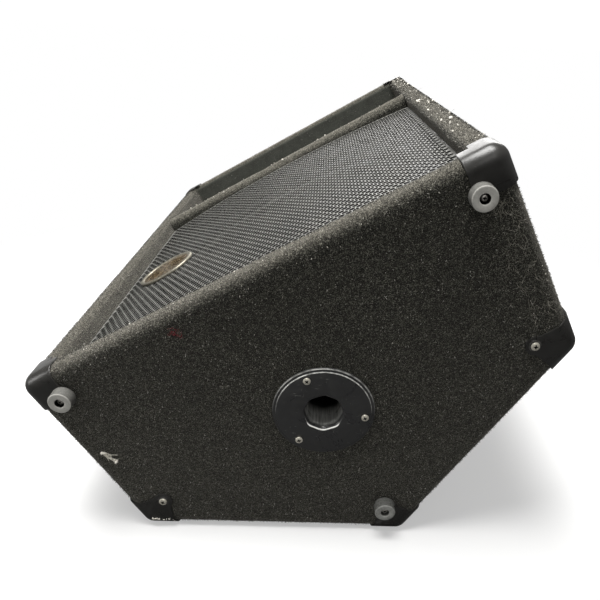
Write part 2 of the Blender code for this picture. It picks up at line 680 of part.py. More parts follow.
def windows():
    """Six openings between the frame's spokes."""
    build = bmesh.new()
    for k in range(6):
        made = bmesh.ops.create_cube(build, size=1.0)["verts"]
        bmesh.ops.scale(build, vec=WINDOW_SIZE, verts=made)
        bmesh.ops.translate(build, vec=WINDOW_CENTRE, verts=made)
        bmesh.ops.rotate(build, verts=made, cent=ORIGIN,
                         matrix=Matrix.Rotation(math.radians(60 * k), 3, "Z"))
    return new_mesh(build)


basket = turned("woofer_frame", BASKET_PROFILE, CAST, WOOFER_PLACE, steps=36, closed=True)
boolean(basket, cutter("frame_windows", windows(), WOOFER_PLACE))
turned("woofer_gasket", GASKET_PROFILE, CLOTH, WOOFER_PLACE, steps=36, closed=True)
turned("woofer_magnet", MAGNET_PROFILE, FERRITE, WOOFER_PLACE)

# ------------------------------------------------------------------ woofer, moving parts
cone_axis = bpy.data.objects.new("woofer_cone_axis", None)
parts.objects.link(cone_axis)
cone_axis.parent = frame
cone_axis.location = WOOFER_PLACE

NECK_R, CONE_R = 0.0345, 0.1500
NECK_Z, CONE_RISE, CONE_CURVE = -0.0920, 0.0860, 1.18    # CONE_CURVE is the flare's exponent
CONE_T = 0.0014
ROLL_R, ROLL_Z = 0.1600, -0.0035                         # middle and base of the half roll
CAP_Z = -0.0815
SPIDER_R, SPIDER_REACH, SPIDER_Z = 0.0337, 0.0413, -0.0925
SPIDER_WAVE, SPIDER_T = 0.0016, 0.0007


def cone_profile():
    back = [(NECK_R + (CONE_R - NECK_R) * k / 5, NECK_Z + CONE_RISE * (k / 5) ** CONE_CURVE)
            for k in range(6)]
    return back[::-1] + [(radius, height + CONE_T) for radius, height in back]


def half_roll(half, height):
    angles = [math.pi * k / 6 for k in range(7)]
    return [(ROLL_R - half * math.cos(angle), ROLL_Z + height * math.sin(angle))
            for angle in angles]


def surround_profile():
    """An outward half roll with a flat land at each side."""
    outer_land = [(0.1690, -0.0030), (0.1690, -0.0042), (0.1672, -0.0042)]
    inner_land = [(0.1530, -0.0042), (0.1506, -0.0042), (0.1506, -0.0035)]
    return half_roll(0.0078, 0.0062) + outer_land + half_roll(0.0066, 0.0050)[-2:0:-1] + inner_land


def spider_profile():
    front = [(SPIDER_R + SPIDER_REACH * k / 8, SPIDER_Z + SPIDER_WAVE * (1 if k % 2 else -1))
             for k in range(9)]
    return front + [(radius, height - SPIDER_T) for radius, height in front[::-1]]


turned("woofer_cone", cone_profile(), PAPER, closed=True, parent=cone_axis)
turned("woofer_surround", surround_profile(), CLOTH, steps=36, closed=True, parent=cone_axis)
turned("woofer_dust_cap", dome(0.0500, 0.0230, CAP_Z, 5) + dome(0.0488, 0.0218, CAP_Z, 5)[::-1],
       PAPER, steps=24, parent=cone_axis)
turned("woofer_voice_coil",
       [(0.0317, -0.0935), (0.0333, -0.0935), (0.0333, -0.1270), (0.0317, -0.1270)],
       COPPER, steps=24, closed=True, parent=cone_axis)
turned("woofer_spider", spider_profile(), AMBER, steps=24, closed=True, parent=cone_axis)

# ------------------------------------------------------------------ horn
MOUTH = (0.156, 0.081)            # half sizes at the front
THROAT = 0.0125                   # half size at the back
FLARE_DECAY = 3.0
HORN_WALL = 0.0032
FLANGE_T = 0.0040


def horn_mesh():
    """Flange, flare and throat, lofted through rounded rectangles."""
    half_x, half_y = HORN_HALF
    # Rings are (half x, half y, corner radius, z).
    flange = [(half_x, half_y, 0.008, 0.0), (half_x, half_y, 0.008, 0.0030),
              (half_x - 0.001, half_y - 0.001, 0.008, FLANGE_T),
              (MOUTH[0] + 0.002, MOUTH[1] + 0.002, 0.010, FLANGE_T)]
    inner = []
    for k in range(7):
        t = k / 6                 # 0 at the mouth, 1 at the throat
        # Each half size blends an exponential with a power curve.
        flare = math.exp(-FLARE_DECAY * t) * (1 - t)
        inner.append((THROAT + (MOUTH[0] - THROAT) * (0.55 * flare + 0.45 * (1 - t) ** 2),
                      THROAT + (MOUTH[1] - THROAT) * (0.45 * flare + 0.55 * (1 - t) ** 1.3),
                      0.010 + 0.0024 * t, 0.0030 - (HORN_DEPTH + 0.0030) * t))
    outer = [(x + HORN_WALL, y + HORN_WALL, radius + HORN_WALL, z)
             for x, y, radius, z in inner[:0:-1]]
    root = (MOUTH[0] + 0.0036, MOUTH[1] + 0.0036, 0.013, 0.0)   # flare's back meets the flange
    return loft([[(x, y, ring[3]) for x, y in rect(0, 0, *ring[:3])]
                 for ring in flange + inner + outer + [root]], closed=True)


piece("horn_flare", horn_mesh(), HORN_BLACK, (*HORN, SEAT_Z))

# ------------------------------------------------------------------ compression driver
DRIVER_PLACE = (*HORN, SEAT_Z - HORN_DEPTH - GAP)
# (radius, height from the horn's throat): the hollow, the open throat, then the outside
DRIVER_PROFILE = [
    (0.0, -0.0400), (0.0270, -0.0400), (0.0270, -0.0220), (0.0127, -0.0200), (0.0127, 0.0),
    (0.0300, 0.0), (0.0300, -0.0080), (0.0480, -0.0090), (0.0520, -0.0140),
    (0.0520, -0.0400), (0.0440, -0.0480), (0.0440, -0.0560), (0.0, -0.0560)]
DIAPHRAGM_Z = -0.0330
DIAPHRAGM_RIM = [(0.0250, DIAPHRAGM_Z), (0.0250, -0.0336), (0.0213, -0.0336)]
turned("driver_body", DRIVER_PROFILE, HORN_BLACK, DRIVER_PLACE, steps=28)
turned("driver_diaphragm", dome(0.0220, 0.0080, DIAPHRAGM_Z, 4) + DIAPHRAGM_RIM
       + dome(0.0213, 0.0073, DIAPHRAGM_Z, 4)[::-1], TITANIUM, DRIVER_PLACE, steps=20)

# ------------------------------------------------------------------ input plate
JACKS = ((PLATE[0], PLATE[1] - 0.050), (PLATE[0], PLATE[1] - 0.022))
SWITCH = (PLATE[0], PLATE[1] + 0.012)
KNOB = (PLATE[0], PLATE[1] + 0.046)
KNOB_PLACE = (*KNOB, SEAT_Z)
JACK_R = 0.0050           # jack's neck through the plate
POT_R = 0.0042            # level control's neck
JACK_BACK = -0.0280
plate_loops = [rect(*PLATE, *PLATE_HALF, 0.004), *(circle(*jack, JACK_R + GAP, 16) for jack in JACKS),
               circle(*KNOB, POT_R + GAP, 16), rect(*SWITCH, 0.0070, 0.0032)]
piece("input_plate", along_z(plate_loops, SEAT_Z, SEAT_Z + PLATE_T), PANEL, smooth=False)

# Profiles are (radius, height above the plate's underside).
JACK_PROFILE = [
    (0.0033, PLATE_T + 0.0040), (0.0075, PLATE_T + 0.0040), (0.0080, PLATE_T + 0.0032),
    (0.0080, PLATE_T + GAP), (JACK_R, PLATE_T + GAP), (JACK_R, -GAP), (0.0100, -GAP),
    (0.0100, JACK_BACK), (0.0033, JACK_BACK)]
POT_PROFILE = [
    (0.0034, PLATE_T - GAP), (POT_R, PLATE_T - GAP), (POT_R, -GAP), (0.0120, -GAP),
    (0.0120, -0.0140), (0.0034, -0.0140)]
KNOB_PROFILE = [
    (0.0, 0.0180), (0.0092, 0.0180), (0.0100, 0.0172), (0.0112, PLATE_T + 0.0006),
    (0.0030, PLATE_T + 0.0006), (0.0030, -0.0120), (0.0, -0.0120)]

for name, jack in zip(("jack_input", "jack_link"), JACKS):
    turned(name, JACK_PROFILE, NICKEL, (*jack, SEAT_Z), steps=16, closed=True)
turned("level_pot", POT_PROFILE, NICKEL, KNOB_PLACE, steps=24, closed=True)
knob = turned("level_knob", KNOB_PROFILE, KNOB_BLACK, KNOB_PLACE, steps=24)
mark = box_mesh((0.0035, -0.0006, 0.0174), (0.0120, 0.0006, 0.0200))
boolean(knob, cutter("knob_mark", mark, KNOB_PLACE))

switch_loops = [rect(*SWITCH, 0.0150, 0.0060), rect(*SWITCH, 0.0068, 0.0030)]
piece("mode_switch", along_z(switch_loops, SEAT_Z - 0.0100, SEAT_Z - GAP), NICKEL, smooth=False)
slider = piece("mode_slider",
               box_mesh((-0.0030, -0.0026, -0.0080), (0.0030, 0.0026, PLATE_T + 0.0045)),
               KNOB_BLACK, (*SWITCH, SEAT_Z))
soften = slider.modifiers.new("soften", "BEVEL")
soften.width = 0.0006
soften.segments = 2

# ------------------------------------------------------------------ crossover
CROSSOVER_X = SKIN + BOARD + 0.006    # board's face towards the front wall
CROSSOVER_T = 0.0016
piece("crossover_board", box_mesh((CROSSOVER_X, 0.560, -0.200),
                                  (CROSSOVER_X + CROSSOVER_T, 0.700, -0.095)), CIRCUIT)
COIL_PROFILE = [
    (0.0090, 0.0200), (0.0230, 0.0200), (0.0240, 0.0190), (0.0240, 0.0010), (0.0230, 0.0),
    (0.0090, 0.0)]
turned("crossover_coil", COIL_PROFILE, COPPER, (CROSSOVER_X + CROSSOVER_T + GAP, 0.600, -0.150),
       (0.0, math.radians(90), 0.0), steps=24, closed=True)

# ------------------------------------------------------------------ wiring
CABLE_X = CROSSOVER_X + 0.0045        # cable ends over the crossover board
jack_x, jack_y = JACKS[0]
cable("input_cable", 0.0026, [
    (jack_x, jack_y, SEAT_Z + JACK_BACK - 0.0005), (jack_x - 0.008, jack_y + 0.006, -0.098),
    (0.056, 0.612, -0.108), (CABLE_X, 0.640, -0.118)])
cable("woofer_cable", 0.0026, [
    (CABLE_X, 0.575, -0.120), (0.045, 0.555, -0.120), (0.050, 0.480, -0.130),
    (0.070, 0.400, -0.130), (0.100, 0.345, -0.128), (0.130, 0.320, -0.124)])
cable("horn_cable", 0.0022, [
    (CABLE_X, 0.680, -0.150), (0.060, 0.685, -0.175), (0.140, 0.680, -0.215),
    (0.220, 0.660, -0.232), (HORN[0] - 0.0560, HORN[1], -0.215)])

# ------------------------------------------------------------------ damping pad on the sloped panel
PAD_GAP, PAD_T = 0.0005, 0.025
pad_under = pentagon(SKIN + BOARD + PAD_GAP)[2:4]
pad_top = pentagon(SKIN + BOARD + PAD_GAP + PAD_T)[2:4]
run = (pad_under[1] - pad_under[0]).normalized()
pad_loop = [pad_under[0] + run * 0.030, pad_under[1] - run * 0.030,
            pad_top[1] - run * 0.020, pad_top[0] + run * 0.040]
piece("damping_pad", along_y(pad_loop, 0.035, 0.500), POLYESTER)

# ------------------------------------------------------------------ stand on B-C, centred on the origin
bpy.context.view_layer.update()
depsgraph = bpy.context.evaluated_depsgraph_get()
points = []
for part in parts.objects:
    if part.type == "MESH":
        shape = part.evaluated_get(depsgraph)
        points += [shape.matrix_world @ vert.co for vert in shape.data.vertices]
low, high = ([pick(point[k] for point in points) for k in range(3)] for pick in (min, max))
frame.location = (-(low[0] + high[0]) / 2, -(low[1] + high[1]) / 2, -low[2])
bpy.context.view_layer.update()
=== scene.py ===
"""Looks for the stage monitor wedge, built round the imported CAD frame."""
import math

import bmesh
import bpy
import numpy as np
from mathutils import Matrix, Vector


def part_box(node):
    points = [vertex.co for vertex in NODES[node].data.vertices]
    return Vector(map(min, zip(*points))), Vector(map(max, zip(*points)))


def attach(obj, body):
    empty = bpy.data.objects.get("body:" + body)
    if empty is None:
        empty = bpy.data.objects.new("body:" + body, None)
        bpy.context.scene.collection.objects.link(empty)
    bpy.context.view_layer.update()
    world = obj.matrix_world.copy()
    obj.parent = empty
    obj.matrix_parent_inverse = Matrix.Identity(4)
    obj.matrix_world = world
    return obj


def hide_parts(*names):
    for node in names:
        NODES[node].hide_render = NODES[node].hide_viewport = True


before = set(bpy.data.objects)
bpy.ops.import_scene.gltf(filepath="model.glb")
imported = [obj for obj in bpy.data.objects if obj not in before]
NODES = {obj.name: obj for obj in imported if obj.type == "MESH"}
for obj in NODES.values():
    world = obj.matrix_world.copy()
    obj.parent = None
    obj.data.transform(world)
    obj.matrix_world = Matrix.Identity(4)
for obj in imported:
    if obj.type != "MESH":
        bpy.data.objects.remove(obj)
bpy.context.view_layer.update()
rng = np.random.default_rng(41)

# ------------------------------------------------------------------ the baffle frame, from the CAD's own boxes
SLOPE = math.radians(30)
COS, SIN = math.cos(SLOPE), math.sin(SLOPE)
_clo, _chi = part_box("pole_socket")
_cup = (_clo + _chi) / 2
ORIGIN = Vector((_cup.x - (0.260 * COS + 0.172 * SIN),
                 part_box("side_panel_near")[0].y - 0.0035,
                 _cup.z - (0.260 * SIN - 0.172 * COS)))
F = Matrix.Translation(ORIGIN) @ Matrix.Rotation(-SLOPE, 4, "Y")

BAFFLE_LEN, WALL_H, WIDTH = 0.520, 0.220, 0.770
SKIN, BOARD, CARPET = 0.0035, 0.019, 0.0032
RIM = 2 * SKIN + BOARD
EDGE_R, PLAN_R = 0.012, 0.013
BAFFLE_DEPTH = 0.045
GRILLE_END, GRILLE_MID, GRILLE_T = 0.022, 0.012, 0.0015
DIVIDER_Y = 0.525
GAP = 0.0003
WZ = -BAFFLE_DEPTH + GAP
WOOFER, HORN, PLATE = (0.260, 0.269), (0.314, 0.641), (0.083, 0.641)
CUP = (0.260, -0.172)
ROOT = "cabinet"


# ------------------------------------------------------------------ node graphs
class Graph:
    """A small helper over one material's nodes. Coordinates are the object's, in metres."""

    def __init__(self, name, rough=0.5, metallic=0.0, ior_level=0.5):
        self.mat = bpy.data.materials.new(name)
        self.mat.use_nodes = True
        self.nt = self.mat.node_tree
        self.b = self.nt.nodes["Principled BSDF"]
        self.set("Roughness", rough)
        self.set("Metallic", metallic)
        self.set("Specular IOR Level", ior_level)
        self.co = self.nt.nodes.new("ShaderNodeTexCoord").outputs["Object"]

    def set(self, key, value):
        s = self.b.inputs[key]
        if hasattr(value, "is_output"):
            self.nt.links.new(value, s)
        elif isinstance(value, (tuple, list)) and len(value) == 3 and s.type == "RGBA":
            s.default_value = (*value, 1.0)
        else:
            s.default_value = value

    def _put(self, node, key, value):
        s = node.inputs[key]
        if hasattr(value, "is_output"):
            self.nt.links.new(value, s)
        elif isinstance(value, (tuple, list)) and len(value) == 3 and s.type == "RGBA":
            s.default_value = (*value, 1.0)
        elif value is not None:
            s.default_value = value

    def stretch(self, x, y, z, rot=(0, 0, 0)):
        n = self.nt.nodes.new("ShaderNodeMapping")
        self._put(n, "Vector", self.co)
        n.inputs["Scale"].default_value = (x, y, z)
        n.inputs["Rotation"].default_value = rot
        return n.outputs["Vector"]

    def noise(self, size, detail=2.0, rough=0.5, vec=None, distort=0.0):
        n = self.nt.nodes.new("ShaderNodeTexNoise")
        self._put(n, "Vector", vec or self.co)
        self._put(n, "Scale", 1.0 / size)
        self._put(n, "Detail", detail)
        self._put(n, "Roughness", rough)
        self._put(n, "Distortion", distort)
        return n.outputs["Fac"]

    def voronoi(self, size, feature="F1", out="Distance", vec=None, random=1.0):
        n = self.nt.nodes.new("ShaderNodeTexVoronoi")
        n.feature = feature
        self._put(n, "Vector", vec or self.co)
        self._put(n, "Scale", 1.0 / size)
        self._put(n, "Randomness", random)
        return n.outputs[out]

    def ramp(self, fac, stops, ease=False):
        n = self.nt.nodes.new("ShaderNodeValToRGB")
        self._put(n, "Fac", fac)
        n.color_ramp.interpolation = "EASE" if ease else "LINEAR"
        e = n.color_ramp.elements
        while len(e) < len(stops):
            e.new(0.5)
        for el, (pos, col) in zip(e, stops):
            el.position = pos
            el.color = (*col, 1.0) if isinstance(col, (tuple, list)) else (col, col, col, 1.0)
        return n.outputs["Color"]

    def span(self, fac, a, b, lo=0.0, hi=1.0):
        n = self.nt.nodes.new("ShaderNodeMapRange")
        for k, v in (("Value", fac), ("From Min", a), ("From Max", b), ("To Min", lo), ("To Max", hi)):
            self._put(n, k, v)
        return n.outputs["Result"]

    def mix(self, fac, a, b, mode="MIX"):
        n = self.nt.nodes.new("ShaderNodeMix")
        n.data_type = "RGBA"
        n.blend_type = mode
        self._put(n, 0, fac)
        self._put(n, 6, a)
        self._put(n, 7, b)
        return n.outputs[2]

    def math(self, op, a, b=None):
        n = self.nt.nodes.new("ShaderNodeMath")
        n.operation = op
        self._put(n, 0, a)
        if b is not None:
            self._put(n, 1, b)
        return n.outputs[0]

    def up(self):
        """How far a surface faces upwards, 0 to 1."""
        g = self.nt.nodes.new("ShaderNodeNewGeometry")
        s = self.nt.nodes.new("ShaderNodeSeparateXYZ")
        self.nt.links.new(g.outputs["Normal"], s.inputs[0])
        return s.outputs["Z"]

    def facing(self):
        n = self.nt.nodes.new("ShaderNodeLayerWeight")
        n.inputs["Blend"].default_value = 0.5
        return n.outputs["Facing"]

    def edge(self, lo=0.52, hi=0.60):
        """Mask along convex edges: wear, and on the rubber feet partly painted highlight."""
        g = self.nt.nodes.new("ShaderNodeNewGeometry")
        return self.span(g.outputs["Pointiness"], lo, hi)

    def attribute(self, name):
        n = self.nt.nodes.new("ShaderNodeAttribute")
        n.attribute_name = name
        return n.outputs["Fac"]

    def bump(self, height, distance, strength=1.0, after=None):
        n = self.nt.nodes.new("ShaderNodeBump")
        self._put(n, "Height", height)
        self._put(n, "Distance", distance)
        self._put(n, "Strength", strength)
        if after is not None:
            self._put(n, "Normal", after)
        return n.outputs["Normal"]


def make_carpet():
    g = Graph("charcoal_carpet", 0.95, 0.0, 0.10)
    fine, tuft, broad = g.noise(0.0011, 3, 0.7), g.noise(0.0026, 2, 0.6), g.noise(0.055, 3, 0.6)
    h = g.math("ADD", g.math("MULTIPLY", fine, 0.77), g.math("MULTIPLY", tuft, 0.23))
    base = g.ramp(h, [(0.40, (0.0022, 0.0022, 0.0018)), (0.49, (0.0120, 0.0121, 0.0098)), (0.55, (0.060, 0.059, 0.048)), (0.63, (0.21, 0.205, 0.17))])
    base = g.mix(g.span(broad, 0.35, 0.7, 0.0, 0.5), base, g.mix(0.5, base, (0.020, 0.020, 0.0165)))
    # Up-facing carpet is blended toward the lighter lit ramp: partly settled dust, partly painted light from above.
    dust = g.math("MULTIPLY", g.span(g.up(), 0.10, 0.85), g.span(g.noise(0.012, 4, 0.7), 0.25, 0.7, 0.5, 1.0))
    lit = g.ramp(h, [(0.36, (0.026, 0.0240, 0.0195)), (0.50, (0.088, 0.082, 0.068)), (0.62, (0.34, 0.32, 0.27))])
    base = g.mix(g.math("MULTIPLY", dust, 0.85), base, lit)
    speck = g.span(g.voronoi(0.0038), 0.16, 0.10)
    rare = g.span(g.noise(0.006, 1, 0.5), 0.53, 0.58)
    base = g.mix(g.math("MULTIPLY", speck, rare), base, (0.34, 0.33, 0.28))
    # the bay's far wall, on faces turned to -y, is painted smooth and a little greener, its own tone, and lighter,
    # which is painted light falling on it
    geo = g.nt.nodes.new("ShaderNodeNewGeometry")
    nrm = g.nt.nodes.new("ShaderNodeSeparateXYZ")
    g.nt.links.new(geo.outputs["Normal"], nrm.inputs[0])
    pos = g.nt.nodes.new("ShaderNodeSeparateXYZ")
    g.nt.links.new(g.co, pos.inputs[0])
    bay = g.math("MULTIPLY", g.span(nrm.outputs["Y"], -0.75, -0.92), g.span(pos.outputs["Y"], 0.335, 0.340))
    base = g.mix(g.math("MULTIPLY", bay, 0.8), base, g.ramp(g.noise(0.02, 4, 0.6), [(0.3, (0.044, 0.047, 0.040)), (0.7, (0.070, 0.073, 0.063))]))
    g.set("Base Color", base)
    g.set("Sheen Weight", 0.30)
    g.set("Sheen Roughness", 0.45)
    g.set("Sheen Tint", (0.80, 0.76, 0.68))
    g.set("Normal", g.bump(fine, 0.0014, 1.0, g.bump(tuft, 0.0014, 0.6)))
    return g.mat


def make_pile():
    g = Graph("carpet_fibres", 0.85, 0.0, 0.15)
    tone = g.attribute("tone")
    c = g.ramp(tone, [(0.0, (0.0045, 0.0045, 0.0038)), (0.40, (0.018, 0.018, 0.0150)), (0.70, (0.062, 0.060, 0.051)),
                      (0.90, (0.19, 0.18, 0.155)), (1.0, (0.62, 0.60, 0.54))])
    g.set("Base Color", g.mix(g.math("MULTIPLY", g.noise(0.002, 2), 0.3), c, (0.03, 0.028, 0.024)))
    g.set("Sheen Weight", 0.2)
    return g.mat


def make_lint():
    g = Graph("lint_and_dust", 0.9, 0.0, 0.2)
    c = g.ramp(g.noise(0.0012, 3, 0.7), [(0.3, (0.42, 0.39, 0.34)), (0.6, (0.80, 0.77, 0.70)), (0.8, (0.95, 0.93, 0.88))])
    g.set("Base Color", c)
    g.set("Normal", g.bump(g.noise(0.0006, 2), 0.0004))
    return g.mat


def make_thread():
    g = Graph("loose_thread", 0.9, 0.0, 0.2)
    g.set("Base Color", g.ramp(g.noise(0.004, 3, 0.7), [(0.35, (0.10, 0.094, 0.078)), (0.6, (0.30, 0.285, 0.24)), (0.75, (0.66, 0.63, 0.56))]))
    return g.mat


def make_red_lint():
    g = Graph("red_lint", 0.9, 0.0, 0.2)
    g.set("Base Color", g.ramp(g.noise(0.001, 2), [(0.3, (0.20, 0.010, 0.020)), (0.7, (0.42, 0.05, 0.07))]))
    return g.mat


def make_plastic(name, colour, rough=0.34, wear=0.5, grain=0.0005, scratch=True):
    g = Graph(name, rough, 0.0, 0.42)
    smear = g.noise(0.035, 4, 0.6, distort=1.5)
    fine = g.noise(grain, 2, 0.5)
    scr = g.noise(0.0012, 2, 0.6, g.stretch(0.06, 1.0, 1.6, (0.4, 0.9, 0.3)))
    scr2 = g.noise(0.0011, 2, 0.6, g.stretch(1.4, 1.0, 0.05, (0.2, -0.5, 0.8)))
    marks = g.math("MAXIMUM", g.span(scr, 0.70, 0.76), g.span(scr2, 0.71, 0.77)) if scratch else g.span(smear, 0.8, 0.9)
    marks = g.math("MULTIPLY", marks, g.span(g.noise(0.02, 2), 0.5, 0.62))
    edge = g.math("MULTIPLY", g.edge(), g.span(g.noise(0.004, 3, 0.7), 0.35, 0.62))
    light = tuple(min(1.0, c * 5 + 0.05) for c in colour)
    dust = tuple(min(1.0, c * 2.0 + 0.012) for c in colour)
    base = g.mix(g.math("MULTIPLY", g.span(smear, 0.35, 0.75), 0.5), colour, dust)
    base = g.mix(g.math("MULTIPLY", marks, 0.5 * wear), base, light)
    base = g.mix(g.math("MULTIPLY", edge, wear), base, light)
    settled = g.math("MULTIPLY", g.span(g.up(), 0.05, 0.80), g.span(smear, 0.2, 0.7, 0.45, 1.0))
    base = g.mix(g.math("MULTIPLY", settled, wear), base, tuple(c * 2.0 + 0.012 for c in colour))
    g.set("Base Color", base)
    r = g.math("ADD", g.span(smear, 0.3, 0.75, rough - 0.07, rough + 0.12), g.math("MULTIPLY", marks, 0.25))
    g.set("Roughness", r)
    g.set("Normal", g.bump(marks, 0.00015, 0.6, g.bump(fine, 0.00012, 0.5)))
    return g.mat


def make_cup():
    """Black plate. Near the mouth the socket's walls are painted streaky grey, partly rubbed by the poles that have
    stood in it and partly painted light; further in they go black as painted shade. The lead-in rounding and two rings
    on the plate's upper edge carry painted highlights.
    """
    g = Graph("black_cup_plastic", 0.3, 0.0, 0.5)
    smear, fine = g.noise(0.035, 4, 0.6, distort=1.5), g.noise(0.0005, 2)
    scr = g.math("MAXIMUM", g.span(g.noise(0.0012, 2, 0.6, g.stretch(0.10, 1.0, 1.6, (0, 0.9, 0))), 0.68, 0.73),
                 g.span(g.noise(0.0011, 2, 0.6, g.stretch(1.4, 1.0, 0.08, (0, -0.5, 0))), 0.69, 0.74))
    scr = g.math("MULTIPLY", scr, g.span(g.noise(0.018, 2), 0.50, 0.58))
    pos = g.nt.nodes.new("ShaderNodeSeparateXYZ")
    g.nt.links.new(g.co, pos.inputs[0])
    mouth_wall_rub_and_light = g.span(pos.outputs["Y"], ORIGIN.y - 0.0010, ORIGIN.y + 0.0030)
    streak = g.noise(0.0016, 3, 0.6, g.stretch(1.0, 0.05, 1.0))
    base = g.mix(g.math("MULTIPLY", g.span(smear, 0.35, 0.75), 0.6), (0.0190, 0.0190, 0.0195), (0.040, 0.040, 0.038))
    base = g.mix(scr, base, (0.26, 0.26, 0.24))
    base = g.mix(g.math("MULTIPLY", g.edge(0.54, 0.60), 0.3), base, (0.20, 0.20, 0.19))
    radial = g.nt.nodes.new("ShaderNodeMapping")
    g.nt.links.new(g.co, radial.inputs["Vector"])
    radial.inputs["Location"].default_value = (-_cup.x, 0.0, -_cup.z)
    radial.inputs["Scale"].default_value = (1.0, 0.0, 1.0)
    length = g.nt.nodes.new("ShaderNodeVectorMath")
    length.operation = "LENGTH"
    g.nt.links.new(radial.outputs["Vector"], length.inputs[0])
    far = length.outputs["Value"]
    # Painted highlight: two thin bright rings on the upper half of the plate's outer edge, where light from above
    # catches it, broken by noise.
    rim = g.math("MAXIMUM", g.math("MULTIPLY", g.math("MULTIPLY", g.span(far, 0.0528, 0.0531), g.span(far, 0.0540, 0.0537)), 0.45),
                 g.math("MULTIPLY", g.math("MULTIPLY", g.span(far, 0.0496, 0.0499), g.span(far, 0.0507, 0.0504)), 0.8))
    rim = g.math("MULTIPLY", rim, g.span(pos.outputs["Z"], _cup.z - 0.002, _cup.z + 0.026))
    base = g.mix(g.math("MULTIPLY", rim, g.span(g.noise(0.005, 3), 0.35, 0.6, 0.25, 1.0)), base, (0.80, 0.80, 0.76))
    geo = g.nt.nodes.new("ShaderNodeNewGeometry")
    nrm = g.nt.nodes.new("ShaderNodeSeparateXYZ")
    g.nt.links.new(geo.outputs["Normal"], nrm.inputs[0])
    # Painted highlight: a thin bright band on the up-facing, outward-turned part of the socket's lead-in rounding.
    lead_in_highlight = g.math("MULTIPLY", g.math("MULTIPLY", g.math("MULTIPLY", g.span(g.up(), 0.22, 0.32), g.span(nrm.outputs["Y"], -0.74, -0.82)), g.span(g.up(), 0.74, 0.64)), g.math("MULTIPLY", g.span(far, 0.0262, 0.0250), g.span(pos.outputs["Y"], ORIGIN.y + 0.0012, ORIGIN.y + 0.0002)))
    base = g.mix(lead_in_highlight, base, (0.92, 0.92, 0.88))
    # Painted light and rub marks: the socket's walls from just past the mouth are painted streaky grey.
    base = g.mix(mouth_wall_rub_and_light, base, g.ramp(streak, [(0.3, (0.14, 0.14, 0.132)), (0.7, (0.42, 0.42, 0.40))]))
    # Painted shade: the socket's walls fade to near black from about 18 to 34 mm in.
    base = g.mix(g.span(pos.outputs["Y"], ORIGIN.y + 0.018, ORIGIN.y + 0.034), base, (0.004, 0.004, 0.004))
    g.set("Base Color", base)
    g.set("Roughness", g.math("ADD", g.span(smear, 0.3, 0.75, 0.24, 0.42), g.math("MULTIPLY", scr, 0.3)))
    g.set("Normal", g.bump(scr, 0.00015, 0.6, g.bump(fine, 0.0001, 0.4)))
    return g.mat


def make_metal(name, colour, rough=0.3, dirt=0.35, grain=0.0004, metallic=1.0):
    g = Graph(name, rough, metallic, 0.5)
    n1, n2 = g.noise(0.002, 4, 0.65), g.noise(grain, 2, 0.5)
    dark = tuple(c * 0.22 for c in colour)
    g.set("Base Color", g.mix(g.math("MULTIPLY", g.span(n1, 0.48, 0.72), dirt), colour, dark))
    g.set("Roughness", g.span(n1, 0.3, 0.7, rough - 0.08, rough + 0.22))
    g.set("Normal", g.bump(n2, 0.00008, 0.5, g.bump(n1, 0.0002, 0.35)))
    return g.mat


def make_paint(name, colour, rough=0.45, metallic=0.0, orange=0.0009, chip=0.3):
    g = Graph(name, rough, metallic, 0.5)
    peel, blot = g.noise(orange, 2, 0.5), g.noise(0.03, 4, 0.6)
    dust = tuple(c * 1.7 + 0.012 for c in colour)
    base = g.mix(g.math("MULTIPLY", g.span(blot, 0.4, 0.75), 0.55), colour, dust)
    base = g.mix(g.math("MULTIPLY", g.math("MULTIPLY", g.edge(), g.span(g.noise(0.003, 3), 0.5, 0.6)), chip), base, (0.35, 0.34, 0.32))
    g.set("Base Color", base)
    g.set("Roughness", g.span(blot, 0.3, 0.7, rough - 0.06, rough + 0.14))
    g.set("Normal", g.bump(peel, 0.0003, 0.6))
    return g.mat


def make_grille():
    g = Graph("perforated_grille", 0.42, 0.0, 0.35)
    blot, fine = g.noise(0.028, 4, 0.65), g.noise(0.0011, 3, 0.6)
    # Painted reflection: the bars get a mid-grey base in blotches, standing in for the black paint's grazing
    # reflections.
    base = g.mix(g.math("MULTIPLY", g.span(blot, 0.35, 0.72), 0.6), (0.125, 0.125, 0.117), (0.250, 0.246, 0.226))
    flake = g.span(g.noise(0.0022, 2, 0.6), 0.64, 0.70)
    base = g.mix(g.math("MULTIPLY", flake, 0.6), base, (0.40, 0.39, 0.35))
    g.set("Base Color", base)
    g.set("Roughness", g.span(blot, 0.3, 0.7, 0.38, 0.55))
    g.set("Normal", g.bump(fine, 0.0002, 0.5))
    return g.mat


def make_flake():
    g = Graph("pale_paint_flake", 0.8, 0.0, 0.2)
    n = g.noise(0.0016, 3, 0.7)
    g.set("Base Color", g.ramp(n, [(0.34, (0.30, 0.28, 0.23)), (0.50, (0.66, 0.63, 0.54)), (0.70, (0.88, 0.86, 0.78))]))
    g.set("Normal", g.bump(n, 0.0003, 0.6))
    return g.mat


def make_hole():
    """Painted shade: a near-black colour for the walls of perforations and of screw and foot recesses, where shade
    falls.
    """
    g = Graph("recess_walls_painted_shade", 0.95, 0.0, 0.0)
    shade_noise = g.noise(0.0012, 3, 0.7)
    g.set("Base Color", g.ramp(shade_noise, [(0.35, (0.0020, 0.0020, 0.0020)), (0.70, (0.0110, 0.0105, 0.0090))]))
    g.set("Normal", g.bump(shade_noise, 0.0002, 0.5))
    return g.mat


